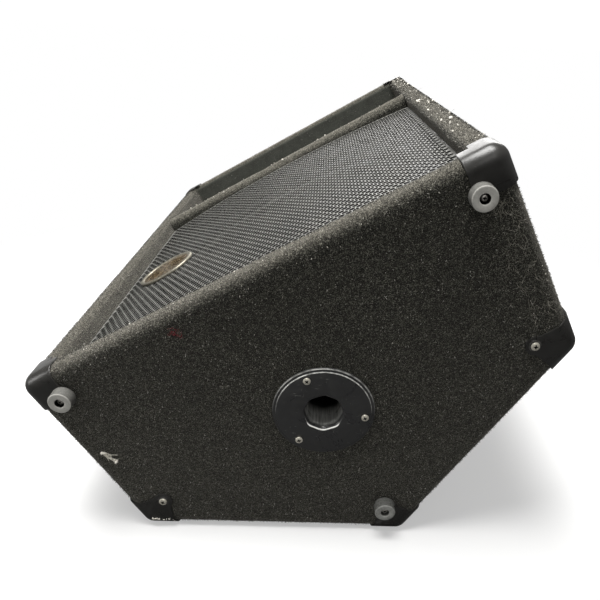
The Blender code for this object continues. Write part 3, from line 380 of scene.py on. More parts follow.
def make_rubber(name, light, dark, rough=0.62, side=0.4):
    g = Graph(name, rough, 0.0, 0.35)
    n1, n2, n3 = g.noise(0.006, 4, 0.65), g.noise(0.0007, 2), g.noise(0.0018, 3, 0.7)
    base = g.mix(g.span(n1, 0.3, 0.7), dark, light)
    # Convex edges go paler: partly wear, partly painted highlight along the rims.
    base = g.mix(g.math("MULTIPLY", g.edge(0.51, 0.57), g.span(n3, 0.3, 0.6)), base, tuple(min(1, c * 1.7 + 0.05) for c in light))
    base = g.mix(g.math("MULTIPLY", g.span(n3, 0.62, 0.72), 0.5), base, tuple(c * 0.35 for c in dark))
    geo = g.nt.nodes.new("ShaderNodeNewGeometry")
    nrm = g.nt.nodes.new("ShaderNodeSeparateXYZ")
    g.nt.links.new(geo.outputs["Normal"], nrm.inputs[0])
    # The foot's sides, on faces not turned to -y, are darker than its face.
    flank = g.mix(g.span(n3, 0.35, 0.68), tuple(c * side * 0.75 for c in dark), tuple(c * side * 1.25 for c in dark))
    base = g.mix(g.span(nrm.outputs["Y"], -0.35, -0.75), flank, base)
    g.set("Base Color", base)
    g.set("Roughness", g.span(n1, 0.3, 0.7, rough - 0.08, rough + 0.15))
    g.set("Normal", g.bump(n2, 0.00025, 0.6, g.bump(n3, 0.0003, 0.4)))
    return g.mat


def make_badge(field=True):
    if field:
        g = Graph("badge_bronze", 0.42, 0.85, 0.5)
        n1, n2 = g.noise(0.0028, 4, 0.7), g.noise(0.0009, 3, 0.6)
        base = g.ramp(n1, [(0.36, (0.016, 0.010, 0.005)), (0.48, (0.085, 0.056, 0.026)), (0.56, (0.22, 0.160, 0.085)), (0.66, (0.58, 0.49, 0.33))])
        g.set("Base Color", g.mix(g.math("MULTIPLY", g.edge(0.45, 0.38), 0.8), base, (0.05, 0.03, 0.015)))
        g.set("Roughness", g.span(n1, 0.3, 0.7, 0.55, 0.30))
        g.set("Normal", g.bump(n2, 0.0003, 0.7))
        return g.mat
    return make_metal("badge_silver", (0.34, 0.32, 0.26), 0.40, 0.9)


def make_wood():
    g = Graph("plywood", 0.75, 0.0, 0.3)
    rings = g.noise(0.010, 4, 0.6, g.stretch(1.0, 0.08, 1.0), 2.0)
    fine = g.noise(0.0015, 3, 0.6, g.stretch(1.0, 0.05, 1.0))
    g.set("Base Color", g.ramp(g.math("ADD", g.math("MULTIPLY", rings, 0.6), g.math("MULTIPLY", fine, 0.4)),
                               [(0.3, (0.26, 0.16, 0.08)), (0.5, (0.44, 0.31, 0.18)), (0.7, (0.60, 0.46, 0.30))]))
    g.set("Normal", g.bump(fine, 0.0004, 0.6))
    return g.mat


def make_cone():
    g = Graph("pulp_cone", 0.85, 0.0, 0.25)
    n1, n2 = g.noise(0.0016, 4, 0.7), g.noise(0.03, 3)
    base = g.ramp(n1, [(0.3, (0.014, 0.014, 0.015)), (0.7, (0.050, 0.049, 0.047))])
    g.set("Base Color", g.mix(g.math("MULTIPLY", g.span(n2, 0.4, 0.7), 0.4), base, (0.07, 0.067, 0.06)))
    g.set("Normal", g.bump(n1, 0.0005, 0.7))
    return g.mat


def make_cloth(name, colour, size=0.0011):
    g = Graph(name, 0.8, 0.0, 0.3)
    w1 = g.noise(size, 1, 0.4, g.stretch(1.0, 0.25, 1.0))
    w2 = g.noise(size, 1, 0.4, g.stretch(0.25, 1.0, 1.0))
    weave = g.math("MAXIMUM", w1, w2)
    g.set("Base Color", g.mix(g.span(weave, 0.4, 0.75), tuple(c * 0.45 for c in colour), tuple(min(1, c * 1.5) for c in colour)))
    g.set("Normal", g.bump(weave, 0.0004, 0.7))
    return g.mat


def make_wadding():
    g = Graph("polyester_wadding", 0.95, 0.0, 0.1)
    n = g.noise(0.006, 5, 0.75)
    g.set("Base Color", g.ramp(n, [(0.3, (0.45, 0.45, 0.42)), (0.7, (0.85, 0.85, 0.82))]))
    g.set("Normal", g.bump(n, 0.004, 0.8))
    return g.mat


MAT = {
    "carpet": make_carpet(), "pile": make_pile(), "lint": make_lint(), "red": make_red_lint(), "thread": make_thread(),
    "guard": make_plastic("black_guard_plastic", (0.0125, 0.0120, 0.0108), 0.29, 0.6),
    "cup": make_cup(),
    "horn": make_plastic("black_horn_plastic", (0.021, 0.021, 0.022), 0.46, 0.3, 0.0007, False),
    "knob": make_plastic("knob_plastic", (0.018, 0.018, 0.018), 0.42, 0.5),
    "grille": make_grille(),
    "hole": make_hole(), "flake": make_flake(),
    "foot": make_rubber("grey_foot_rubber", (0.360, 0.353, 0.327), (0.255, 0.250, 0.230)),
    "foot_dark": make_rubber("dark_foot_rubber", (0.273, 0.275, 0.257), (0.159, 0.160, 0.150), 0.26, 0.60),
    "aged": make_metal("aged_screw", (0.62, 0.60, 0.55), 0.30, 0.5),
    "zinc": make_metal("bright_zinc_screw", (0.66, 0.63, 0.54), 0.34, 0.55, 0.0006, 0.55),
    "nickel": make_metal("nickel_plate", (0.66, 0.65, 0.61), 0.25, 0.3),
    "black_screw": make_metal("black_oxide_screw", (0.10, 0.10, 0.10), 0.35, 0.3),
    "bronze": make_badge(True), "silver": make_badge(False),
    "wood": make_wood(),
    "board_paint": make_paint("black_painted_board", (0.020, 0.020, 0.021), 0.55, 0.0, 0.0016, 0.2),
    "panel": make_paint("input_panel_paint", (0.026, 0.026, 0.028), 0.42, 0.3, 0.0006, 0.5),
    "cast": make_paint("cast_frame_paint", (0.20, 0.20, 0.19), 0.42, 0.6, 0.0013, 0.4),
    "motor": make_metal("zinc_motor_plate", (0.42, 0.42, 0.40), 0.38, 0.5),
    "cone": make_cone(),
    "surround": make_cloth("treated_cloth", (0.034, 0.031, 0.028)),
    "spider": make_cloth("spider_cloth", (0.42, 0.22, 0.07), 0.0016),
    "copper": make_metal("enamelled_copper", (0.70, 0.30, 0.12), 0.3, 0.3, 0.0012),
    "titanium": make_metal("titanium_foil", (0.20, 0.20, 0.21), 0.48, 0.2),
    "pcb": make_plastic("circuit_board", (0.030, 0.13, 0.045), 0.4, 0.2, 0.0005, False),
    "cable": make_plastic("cable_jacket", (0.016, 0.016, 0.016), 0.5, 0.2, 0.0005, False),
    "wadding": make_wadding(),
    "mark": make_paint("white_legend", (0.62, 0.62, 0.58), 0.6),
}


# ------------------------------------------------------------------ geometry helpers
def weld(mesh, dist=1e-6):
    bm = bmesh.new()
    bm.from_mesh(mesh)
    bmesh.ops.remove_doubles(bm, verts=bm.verts[:], dist=dist)
    bmesh.ops.recalc_face_normals(bm, faces=bm.faces[:])
    bm.to_mesh(mesh)
    bm.free()
    return mesh


def evaluated(o):
    dg = bpy.context.evaluated_depsgraph_get()
    dg.update()
    mesh = bpy.data.meshes.new_from_object(o.evaluated_get(dg), depsgraph=dg)
    bpy.data.objects.remove(o, do_unlink=True)
    return mesh


def temp(mesh):
    o = bpy.data.objects.new("work", mesh)
    bpy.context.scene.collection.objects.link(o)
    return o


def combined(mesh, *steps):
    o = temp(mesh)
    tools = []
    for operation, other in steps:
        t = temp(other)
        tools.append(t)
        m = o.modifiers.new("cut", "BOOLEAN")
        m.operation, m.solver, m.object = operation, "EXACT", t
    result = weld(evaluated(o))
    for t in tools:
        bpy.data.objects.remove(t, do_unlink=True)
    return result


def modified(mesh, kind, **props):
    o = temp(mesh)
    m = o.modifiers.new(kind.lower(), kind)
    for k, v in props.items():
        setattr(m, k, v)
    return evaluated(o)


def piece(name, mesh, mat, place=F, body=ROOT, replaces=(), angle=35, smooth=True, mats=None):
    """Place a mesh in the row frame as a finished piece on a CAD body."""
    mesh.transform(place)
    zones = np.zeros(len(mesh.polygons), np.int32)
    if mats:
        mesh.polygons.foreach_get("material_index", zones)
    mesh.materials.clear()
    for m in (mats or [mat]):
        mesh.materials.append(MAT[m])
    mesh.polygons.foreach_set("material_index", zones)
    o = bpy.data.objects.new(name, mesh)
    bpy.context.scene.collection.objects.link(o)
    if smooth:
        mesh.shade_smooth()
        mesh.set_sharp_from_angle(angle=math.radians(angle))
    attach(o, body)
    if replaces:
        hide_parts(*replaces)
    return o


def outline_mesh(loops, thickness):
    curve = bpy.data.curves.new("outline", "CURVE")
    curve.dimensions = "2D"
    curve.fill_mode = "BOTH"
    curve.extrude = thickness / 2
    for loop in loops:
        s = curve.splines.new("POLY")
        s.points.add(len(loop) - 1)
        for p, (x, y) in zip(s.points, loop):
            p.co = (x, y, 0.0, 1.0)
        s.use_cyclic_u = True
    o = bpy.data.objects.new("outline", curve)
    bpy.context.scene.collection.objects.link(o)
    mesh = evaluated(o)
    bpy.data.curves.remove(curve)
    bm = bmesh.new()
    bm.from_mesh(mesh)
    bmesh.ops.remove_doubles(bm, verts=bm.verts[:], dist=1e-6)
    bmesh.ops.dissolve_limit(bm, angle_limit=0.001, verts=bm.verts[:], edges=bm.edges[:])
    bmesh.ops.recalc_face_normals(bm, faces=bm.faces[:])
    bm.to_mesh(mesh)
    bm.free()
    return mesh


def along_y(loops, y0, y1):
    m = outline_mesh(loops, y1 - y0)
    m.transform(Matrix.Translation((0, (y0 + y1) / 2, 0)) @ Matrix.Rotation(math.radians(90), 4, "X"))
    return m


def along_w(loops, w0, w1):
    m = outline_mesh(loops, w1 - w0)
    m.transform(Matrix.Translation((0, 0, (w0 + w1) / 2)))
    return m


def box_mesh(lo, hi):
    bm = bmesh.new()
    bmesh.ops.create_cube(bm, size=1.0)
    for v in bm.verts:
        v.co = Vector([lo[i] + (v.co[i] + 0.5) * (hi[i] - lo[i]) for i in range(3)])
    m = bpy.data.meshes.new("box")
    bm.to_mesh(m)
    bm.free()
    return m


def circle(cx, cy, r, n=32, start=0.0):
    return [(cx + r * math.cos(start + 2 * math.pi * k / n), cy + r * math.sin(start + 2 * math.pi * k / n)) for k in range(n)]


def rect(cx, cy, hx, hy, r=0.0, n=6):
    if r <= 0:
        return [(cx - hx, cy - hy), (cx + hx, cy - hy), (cx + hx, cy + hy), (cx - hx, cy + hy)]
    pts = []
    for sx, sy, a0 in ((1, -1, -90), (1, 1, 0), (-1, 1, 90), (-1, -1, 180)):
        for k in range(n + 1):
            a = math.radians(a0 + 90 * k / n)
            pts.append((cx + sx * (hx - r) + r * math.cos(a), cy + sy * (hy - r) + r * math.sin(a)))
    return pts


def lathe(profile, steps=64, closed=False, wobble=None):
    """Spin (radius, height) points, run down the outer side, about z."""
    verts, rings = [], []
    for r, z in profile:
        if r < 1e-7:
            rings.append([len(verts)])
            verts.append((0, 0, z))
        else:
            rings.append(list(range(len(verts), len(verts) + steps)))
            for k in range(steps):
                a = 2 * math.pi * k / steps
                rr = r if wobble is None else r + wobble(r, z, a)
                verts.append((rr * math.cos(a), rr * math.sin(a), z))
    faces = []
    pairs = list(zip(rings, rings[1:]))
    if closed:
        pairs.append((rings[-1], rings[0]))
    for a, b in pairs:
        for k in range(steps):
            k2 = (k + 1) % steps
            if len(a) == 1 and len(b) == 1:
                continue
            if len(a) == 1:
                faces.append((a[0], b[k], b[k2]))
            elif len(b) == 1:
                faces.append((a[k], b[0], a[k2]))
            else:
                faces.append((a[k], b[k], b[k2], a[k2]))
    m = bpy.data.meshes.new("lathe")
    m.from_pydata(verts, [], faces)
    return weld(m)


def near_at(u, w, y=0.0, spin=0.0):
    """Local z points out of the near side at (u, w)."""
    return F @ Matrix.Translation((u, y, w)) @ Matrix.Rotation(math.radians(90), 4, "X") @ Matrix.Rotation(spin, 4, "Z")


def far_at(u, w, y=WIDTH, spin=0.0):
    return F @ Matrix.Translation((u, y, w)) @ Matrix.Rotation(math.radians(-90), 4, "X") @ Matrix.Rotation(spin, 4, "Z")


def up_at(u, y, w, spin=0.0):
    return F @ Matrix.Translation((u, y, w)) @ Matrix.Rotation(spin, 4, "Z")


def pentagon(inset=0.0):
    low = WALL_H + BAFFLE_LEN / 2 * math.tan(SLOPE)
    pts = [Vector((0, 0)), Vector((0, -WALL_H)), Vector((BAFFLE_LEN / 2, -low)),
           Vector((BAFFLE_LEN, -WALL_H)), Vector((BAFFLE_LEN, 0))]
    out = []
    for i in range(5):
        a, b, c = pts[i - 1], pts[i], pts[(i + 1) % 5]
        d1, d2 = (b - a).normalized(), (c - b).normalized()
        n1, n2 = Vector((-d1.y, d1.x)), Vector((-d2.y, d2.x))
        out.append(b + (n1 + n2) * (inset / (1 + n1.dot(n2))))
    return out


def arc_at(pts, i, radius, n):
    a, b, c = pts[i - 1], pts[i], pts[(i + 1) % len(pts)]
    d1, d2 = (b - a).normalized(), (c - b).normalized()
    n1 = Vector((-d1.y, d1.x))
    turn = d1.angle(d2)
    centre = b - d1 * radius * math.tan(turn / 2) + n1 * radius
    start = math.atan2(-n1.y, -n1.x)
    return [centre + radius * Vector((math.cos(start + turn * k / n), math.sin(start + turn * k / n))) for k in range(n + 1)]


def body_mesh(inset, arc=10, segments=8):
    pts = pentagon(inset)
    loop = []
    for i in range(5):
        loop += arc_at(pts, i, PLAN_R - inset, arc)
    lo, hi = inset, WIDTH - inset
    m = along_y([[tuple(p) for p in loop]], lo, hi)
    bm = bmesh.new()
    bm.from_mesh(m)
    edges = [e for e in bm.edges for y in (lo, hi) if abs(e.verts[0].co.y - y) < 1e-6 and abs(e.verts[1].co.y - y) < 1e-6]
    bmesh.ops.bevel(bm, geom=edges, offset=EDGE_R - inset, offset_type="OFFSET", segments=segments, profile=0.5,
                    affect="EDGES", clamp_overlap=False)
    bmesh.ops.recalc_face_normals(bm, faces=bm.faces[:])
    bm.to_mesh(m)
    bm.free()
    return m


def lattice_noise(P, size, seed):
    """Smooth value noise in -1..1 at points P, of the given feature size."""
    q = P / size
    i = np.floor(q).astype(np.int64)
    f = q - i
    f = f * f * (3 - 2 * f)
    out = np.zeros(len(P))
    for dx in (0, 1):
        for dy in (0, 1):
            for dz in (0, 1):
                n = ((i[:, 0] + dx) * 73856093) ^ ((i[:, 1] + dy) * 19349663) ^ ((i[:, 2] + dz) * 83492791) ^ (seed * 2654435761)
                n = ((n ^ (n >> 13)) * 1274126177) & 0x7FFFFFFF
                n = (n ^ (n >> 16)) & 0xFFFF
                wgt = (f[:, 0] if dx else 1 - f[:, 0]) * (f[:, 1] if dy else 1 - f[:, 1]) * (f[:, 2] if dz else 1 - f[:, 2])
                out += wgt * (n / 32767.5 - 1)
    return out


def arrays(mesh):
    v = np.zeros(len(mesh.vertices) * 3)
    mesh.vertices.foreach_get("co", v)
    return v.reshape(-1, 3)


def set_arrays(mesh, v):
    mesh.vertices.foreach_set("co", v.astype(np.float32).ravel())
    mesh.update()


def normals(mesh):
    n = np.zeros(len(mesh.vertices) * 3)
    mesh.vertices.foreach_get("normal", n)
    return n.reshape(-1, 3)


# ------------------------------------------------------------------ carpet
U_A, U_E = RIM, BAFFLE_LEN - RIM
Y_A, Y_E = RIM, WIDTH - RIM
LIP_R = 0.008


def round_lips(v):
    """Round the inner edges of the front rim in a remeshed envelope, in place."""
    u, y, w = v[:, 0].copy(), v[:, 1].copy(), v[:, 2].copy()
    inside_u = (u > U_A - 0.001) & (u < U_E + 0.001)
    inside_y = (y > Y_A - 0.001) & (y < Y_E + 0.001)
    # distance from the opening, negative within it
    du = np.maximum(U_A - u, u - U_E)
    dy = np.maximum(Y_A - y, y - Y_E)
    d = np.maximum(du, dy)
    flat = (w > -0.0012) & (d > -0.0004) & (d < LIP_R)
    t = np.clip(1 - np.maximum(d, 0) / LIP_R, 0, 1)
    th = t * math.pi / 4
    shift = LIP_R * (t - np.sin(th))
    use_u = du >= dy
    su = np.where(u < BAFFLE_LEN / 2, -1.0, 1.0)
    sy = np.where(y < WIDTH / 2, -1.0, 1.0)
    v[:, 0] += np.where(flat & use_u, su * shift, 0)
    v[:, 1] += np.where(flat & ~use_u, sy * shift, 0)
    v[:, 2] -= np.where(flat, LIP_R * (1 - np.cos(th)), 0)
    wall = ~flat & (w > -LIP_R) & (w < 0.0005) & (np.abs(d) < 0.0012)
    t2 = np.clip(1 + w / LIP_R, 0, 1)
    th2 = t2 * math.pi / 4
    back = LIP_R * (1 - np.cos(th2))
    v[:, 0] += np.where(wall & (np.abs(du) < 0.0012) & inside_y, su * back, 0)
    v[:, 1] += np.where(wall & (np.abs(dy) < 0.0012) & inside_u, sy * back, 0)
    v[:, 2] = np.where(wall, -LIP_R + LIP_R * np.sin(th2), v[:, 2])
    return v


def carpet_sheet(voxel, keep, slab=None, inset=0.0, lumps=((0.006, 0.00012), (0.0032, 0.00012)), seed=3):
    """The carpet's outer surface as an even mesh: envelope, remesh, keep the wanted faces, round, roughen, give it an edge."""
    steps = [("DIFFERENCE", box_mesh((U_A, Y_A, -BAFFLE_DEPTH), (U_E, Y_E, 0.05)))]
    if slab:
        steps.append(("INTERSECT", box_mesh(*slab)))
    solid = combined(body_mesh(inset, 6, 5), *steps)
    m = modified(solid, "REMESH", mode="VOXEL", voxel_size=voxel, adaptivity=0.0)
    v = arrays(m)
    bm = bmesh.new()
    bm.from_mesh(m)
    doomed = [f for f in bm.faces if not keep(*f.calc_center_median())]
    bmesh.ops.delete(bm, geom=doomed, context="FACES")
    bm.to_mesh(m)
    bm.free()
    v = round_lips(arrays(m))
    set_arrays(m, v)
    n = normals(m)
    d = np.zeros(len(v))
    for k, (size, amp) in enumerate(lumps):
        d += amp * lattice_noise(v, size, seed + k)
    v = v + n * d[:, None]
    set_arrays(m, v)
    bm = bmesh.new()
    bm.from_mesh(m)
    rim = [e for e in bm.edges if len(e.link_faces) == 1]
    made = bmesh.ops.extrude_edge_only(bm, edges=rim)["geom"]
    bm.normal_update()
    for x in made:
        if isinstance(x, bmesh.types.BMVert):
            near = [e.other_vert(x) for e in x.link_edges]
            old = [q for q in near if q not in made]
            if old:
                x.co = x.co - old[0].normal * 0.0028
    bm.to_mesh(m)
    bm.free()
    return m


def in_opening(u, y, w, pad=0.0):
    return U_A + pad < u < U_E - pad and Y_A + pad < y < Y_E - pad and -BAFFLE_DEPTH - 0.004 < w < -BAFFLE_DEPTH + 0.0035


def lip_near(u, y, w):
    return U_A + 0.0003 < u < U_E - 0.0003 and y < Y_A + 0.0015 and w > -BAFFLE_DEPTH + 0.001


def keep_near(u, y, w):
    if in_opening(u, y, w) or y > Y_A + 0.0015:
        return False
    if (u - CUP[0]) ** 2 + (w - CUP[1]) ** 2 < 0.040 ** 2 and y < 0.01:
        return False
    return y < 0.0142 or lip_near(u, y, w)


def keep_far(u, y, w):
    if in_opening(u, y, w):
        return False
    return y > WIDTH - 0.0142 or lip_near(u, WIDTH - y, w)


def keep_wrap(u, y, w):
    if in_opening(u, y, w):
        return False
    if lip_near(u, y, w) or lip_near(u, WIDTH - y, w):
        return False
    return 0.0125 < y < WIDTH - 0.0125


NEAR_LUMPS = ((0.030, 0.00015), (0.0028, 0.00014))
m = carpet_sheet(0.0015, keep_near, ((-0.1, -0.1, -0.6), (0.62, 0.034, 0.1)), 0.0, NEAR_LUMPS, 3)
near_sheet = piece("carpet_near_side", m, "carpet", replaces=["carpet_side_near"], angle=80)
m = carpet_sheet(0.0026, keep_far, ((-0.1, WIDTH - 0.036, -0.6), (0.62, WIDTH + 0.1, 0.1)), 0.0, NEAR_LUMPS, 5)
far_sheet = piece("carpet_far_side", m, "carpet", replaces=["carpet_side_far"], angle=80)
m = carpet_sheet(0.0027, keep_wrap, None, 0.0, NEAR_LUMPS, 3)
wrap_sheet = piece("carpet_over_walls", m, "carpet", replaces=["carpet_wrap"], angle=80)

# divider: carpet folded over the batten
half_out, top = BOARD / 2 + SKIN, -0.002
path = [(half_out, w) for w in np.linspace(-BAFFLE_DEPTH + 0.0006, top - half_out, 20)]
path += [(half_out * math.cos(a), top - half_out + half_out * math.sin(a)) for a in np.linspace(0, math.pi, 28)[1:-1]]
path += [(-half_out, w) for w in np.linspace(top - half_out, -BAFFLE_DEPTH + 0.0006, 20)]
us = np.linspace(U_A + 0.0004, U_E - 0.0004, 300)
P = np.array([[(u, DIVIDER_Y + y, w) for y, w in path] for u in us])
nu, npth = P.shape[:2]
verts = P.reshape(-1, 3)
faces = [(i * npth + j, i * npth + j + 1, (i + 1) * npth + j + 1, (i + 1) * npth + j) for i in range(nu - 1) for j in range(npth - 1)]
m = bpy.data.meshes.new("divider")
m.from_pydata([tuple(p) for p in verts], [], faces)
weld(m)
v = arrays(m)
n = normals(m)
side = np.sign((n * np.c_[np.zeros(len(v)), v[:, 1] - DIVIDER_Y, v[:, 2] - (top - half_out)]).sum(1).mean())
d = 0.0006 * lattice_noise(v, 0.045, 9) + 0.00035 * lattice_noise(v, 0.006, 3) + 0.00025 * lattice_noise(v, 0.003, 4)
set_arrays(m, v + n * (d * side)[:, None])
m = modified(m, "SOLIDIFY", thickness=0.0026, offset=-1.0 * side)
divider = piece("carpet_over_divider", m, "carpet", replaces=["carpet_divider"], angle=80)


def pile(name, source, count, keep, length=(0.0010, 0.0024), lean=1.1, width=0.00014, light=0.10, seed=1):
    """Short bent fibres rooted on a carpet sheet, as tapered ribbons with a tone for each."""
    r = np.random.default_rng(seed)
    me = source.data
    v = arrays(me)
    tri = np.zeros(len(me.loop_triangles) * 3, np.int32) if len(me.loop_triangles) else None
    me.calc_loop_triangles()
    tri = np.zeros(len(me.loop_triangles) * 3, np.int32)
    me.loop_triangles.foreach_get("vertices", tri)
    tri = tri.reshape(-1, 3)
    a, b, c = v[tri[:, 0]], v[tri[:, 1]], v[tri[:, 2]]
    cr = np.cross(b - a, c - a)
    area = np.linalg.norm(cr, axis=1) / 2
    nrm = cr / np.maximum(np.linalg.norm(cr, axis=1), 1e-12)[:, None]
    centre = (a + b + c) / 3
    wgt = area * keep(centre, nrm)
    idx = r.choice(len(tri), size=count, p=wgt / wgt.sum())
    s, t = r.random(count), r.random(count)
    flip = s + t > 1
    s[flip], t[flip] = 1 - s[flip], 1 - t[flip]
    root = a[idx] + (b - a)[idx] * s[:, None] + (c - a)[idx] * t[:, None]
    nn = nrm[idx]
    side = r.normal(size=(count, 3))
    side -= (side * nn).sum(1)[:, None] * nn
    side /= np.linalg.norm(side, axis=1)[:, None]
    L = r.uniform(*length, count)
    ln = lean * r.uniform(0.3, 1.0, count)
    mid = root + (nn * 0.55 + side * (ln * 0.35)[:, None]) * L[:, None]
    tip = root + (nn * 0.75 + side * (ln * 0.95)[:, None]) * L[:, None]
    across = np.cross(nn, side)
    pick = r.random(count) < light
    wv = across * (width * r.uniform(0.6, 1.4, count) * np.where(pick, 1.9, 1.0))[:, None]
    root = root - nn * 0.0004
    V = np.stack([root - wv, root + wv, mid + wv * 0.8, mid - wv * 0.8, tip], 1).reshape(-1, 3)
    base = np.arange(count) * 5
    F4 = np.stack([base, base + 1, base + 2, base + 3], 1)
    F3 = np.stack([base + 3, base + 2, base + 4], 1)
    mesh = bpy.data.meshes.new(name)
    mesh.vertices.add(len(V))
    mesh.vertices.foreach_set("co", V.astype(np.float32).ravel())
    loops = np.concatenate([F4.ravel(), F3.ravel()])
    mesh.loops.add(len(loops))
    mesh.loops.foreach_set("vertex_index", loops.astype(np.int32))
    starts = np.concatenate([np.arange(count) * 4, count * 4 + np.arange(count) * 3])
    mesh.polygons.add(2 * count)
    mesh.polygons.foreach_set("loop_start", starts.astype(np.int32))
    mesh.update(calc_edges=True)
    mesh.validate()
    tone = r.beta(2.0, 2.6, count) * 0.88
    tone[pick] = r.uniform(0.86, 0.99, pick.sum())
    att = mesh.attributes.new("tone", "FLOAT", "POINT")
    att.data.foreach_set("value", np.repeat(tone, 5).astype(np.float32))
    o = piece(name, mesh, "pile", Matrix.Identity(4), smooth=False)
    return o


INV = np.array(F.inverted())


def local(p):
    return p @ INV[:3, :3].T + INV[:3, 3]


def w_near(c, n):
    q = local(c)
    front = (n @ np.array(F.to_3x3() @ Vector((0, -1, 0)))) > -0.2
    k = np.where(front, 1.0, 0.05)
    k *= np.where(q[:, 2] > -0.020, 2.2, 1.0)
    return k


def w_wrap(c, n):
    q = local(c)
    k = np.full(len(c), 0.35)
    k = np.where(q[:, 2] > -0.030, 3.0, k)
    k = np.where(n[:, 2] < -0.3, 0.05, k)
    return k


pile("pile_near_side", near_sheet, 52000, w_near, seed=11)
pile("pile_walls", wrap_sheet, 60000, w_wrap, seed=12)
pile("pile_far_side", far_sheet, 14000, lambda c, n: np.ones(len(c)), seed=13)
pile("pile_divider", divider, 9000, lambda c, n: np.where(local(c)[:, 2] > -0.03, 1.0, 0.1), seed=14)


# ------------------------------------------------------------------ lint, threads and flecks
def lint(name, spots, mat="lint", seed=5):
    """Small irregular crumbs: (position, normal, size)."""
    r = np.random.default_rng(seed)
    bm = bmesh.new()
    for p, nrm, size in spots:
        made = bmesh.ops.create_icosphere(bm, subdivisions=1, radius=size)["verts"]
        sc = r.uniform(0.5, 1.5, 3)
        rot = Matrix.Rotation(r.uniform(0, 6.28), 3, Vector(r.normal(size=3)).normalized())
        for q in made:
            q.co = rot @ Vector((q.co.x * sc[0], q.co.y * sc[1], q.co.z * sc[2] * 0.6)) * (1 + r.uniform(-0.3, 0.3)) + Vector(p) + Vector(nrm) * size * 0.35
    m = bpy.data.meshes.new(name)
    bm.to_mesh(m)
    bm.free()
    return piece(name, m, mat, F, smooth=False)


def thread(bm, p, direction, normal, length, radius, r, turns=9, lift=0.0012, curl=0.8):
    """A loose thread lying on a surface, as a bent three-sided tube."""
    d, nrm = Vector(direction).normalized(), Vector(normal).normalized()
    s = nrm.cross(d)
    pts, a = [Vector(p)], 0.0
    for k in range(turns):
        a += r.normal() * curl
        step = (d * math.cos(a) + s * math.sin(a)) * (length / turns)
        q = pts[-1] + step
        pts.append(q)
    rings = []
    for k, q in enumerate(pts):
        t = k / (len(pts) - 1)
        h = lift * (0.3 + math.sin(math.pi * t)) * r.uniform(0.6, 1.2)
        c = q + nrm * h
        rings.append([bm.verts.new(c + (s * math.cos(b) + nrm * math.sin(b)) * radius) for b in (0.5, 2.6, 4.7)])
    for x, y in zip(rings, rings[1:]):
        for k in range(3):
            bm.faces.new((x[k], x[(k + 1) % 3], y[(k + 1) % 3], y[k]))
    bm.faces.new(rings[0][::-1])
    bm.faces.new(rings[-1])


spots = []
r = np.random.default_rng(77)
for _ in range(95):       # along the back rim
    a = r.random()
    u = BAFFLE_LEN - RIM * (0.15 + 0.75 * r.random())
    spots.append(((u, 0.045 + 0.70 * a ** 0.8, 0.0004), (0, 0, 1), r.uniform(0.0005, 0.0012) * (1.9 if r.random() < 0.22 else 1.0)))
for _ in range(34):       # rolled outer edge of the back wall
    spots.append(((BAFFLE_LEN - 0.003, 0.03 + 0.7 * r.random(), -0.0035), (0.7, 0, 0.7), r.uniform(0.0004, 0.0010)))
for _ in range(26):       # divider's crown
    spots.append(((0.05 + 0.42 * r.random(), DIVIDER_Y + 0.006 * r.normal(), -0.0022), (0, 0, 1), r.uniform(0.0005, 0.0012) * (1.8 if r.random() < 0.25 else 1.0)))
for _ in range(60):       # near rim, thickest towards the low end
    u = 0.05 + 0.42 * r.random() ** 1.6
    spots.append(((u, 0.008 + 0.013 * r.random(), -0.0004), (0, -0.3, 1), r.uniform(0.0003, 0.0008)))
for _ in range(26):       # worn edge at the foot of the lower front protector
    t = 0.007 + 0.027 * r.random()
    inset = 0.0104 + 0.0007 * r.normal()
    spots.append(((0.866 * t + 0.5 * inset, -0.0026, -WALL_H - 0.5 * t + 0.866 * inset), (0, -1, -0.5), r.uniform(0.0005, 0.0011)))
for _ in range(70):       # scattered over the near side
    u, w = 0.04 + 0.44 * r.random(), -0.02 - 0.20 * r.random()
    if (u - CUP[0]) ** 2 + (w - CUP[1]) ** 2 > 0.06 ** 2:
        spots.append(((u, 0.0002, w), (0, -1, 0), r.uniform(0.00025, 0.0006)))
for _ in range(26):       # near end of the back edge
    w = -0.045 - 0.15 * r.random()
    spots.append(((BAFFLE_LEN - 0.004 - 0.012 * r.random(), 0.0012 + 0.003 * r.random(), w), (0.5, -0.8, 0), r.uniform(0.0003, 0.0009)))
for k in range(16):       # the pale fleck low on the near side
    t = k / 15
    spots.append(((0.0200 + 0.0060 * t + 0.0012 * r.normal(), 0.0001, -0.1092 - 0.0170 * t), (0, -1, 0), r.uniform(0.0007, 0.0016) * (1.5 if t < 0.2 or t > 0.8 else 0.9)))
lint("lint_crumbs", spots)

bm = bmesh.new()
r = np.random.default_rng(78)
for _ in range(110):      # loose threads by the back edge of the near side
    w = -0.042 - 0.160 * r.random() ** 1.4
    u = BAFFLE_LEN - 0.011 - 0.022 * r.random() ** 1.5
    thread(bm, (u, 0.0003, w), (r.normal() * 0.6, 0, -1), (0, -1, 0), r.uniform(0.005, 0.016), 0.00015, r, 8, 0.0014, 0.38)
for _ in range(60):       # elsewhere on the near side and the rims
    u, w = 0.03 + 0.46 * r.random(), -0.01 - 0.20 * r.random()
    if (u - CUP[0]) ** 2 + (w - CUP[1]) ** 2 > 0.065 ** 2:
        thread(bm, (u, 0.0003, w), (r.normal(), 0, r.normal()), (0, -1, 0), r.uniform(0.003, 0.007), 0.00009, r, 6, 0.0010, 0.5)
for _ in range(40):
    thread(bm, (BAFFLE_LEN - RIM * r.uniform(0.15, 0.9), 0.05 + 0.68 * r.random(), 0.0), (r.normal(), r.normal(), 0), (0, 0, 1),
           r.uniform(0.003, 0.008), 0.00009, r, 6, 0.0012, 0.5)
m = bpy.data.meshes.new("threads")
bm.to_mesh(m)
bm.free()
piece("loose_threads", m, "thread", F, smooth=False)

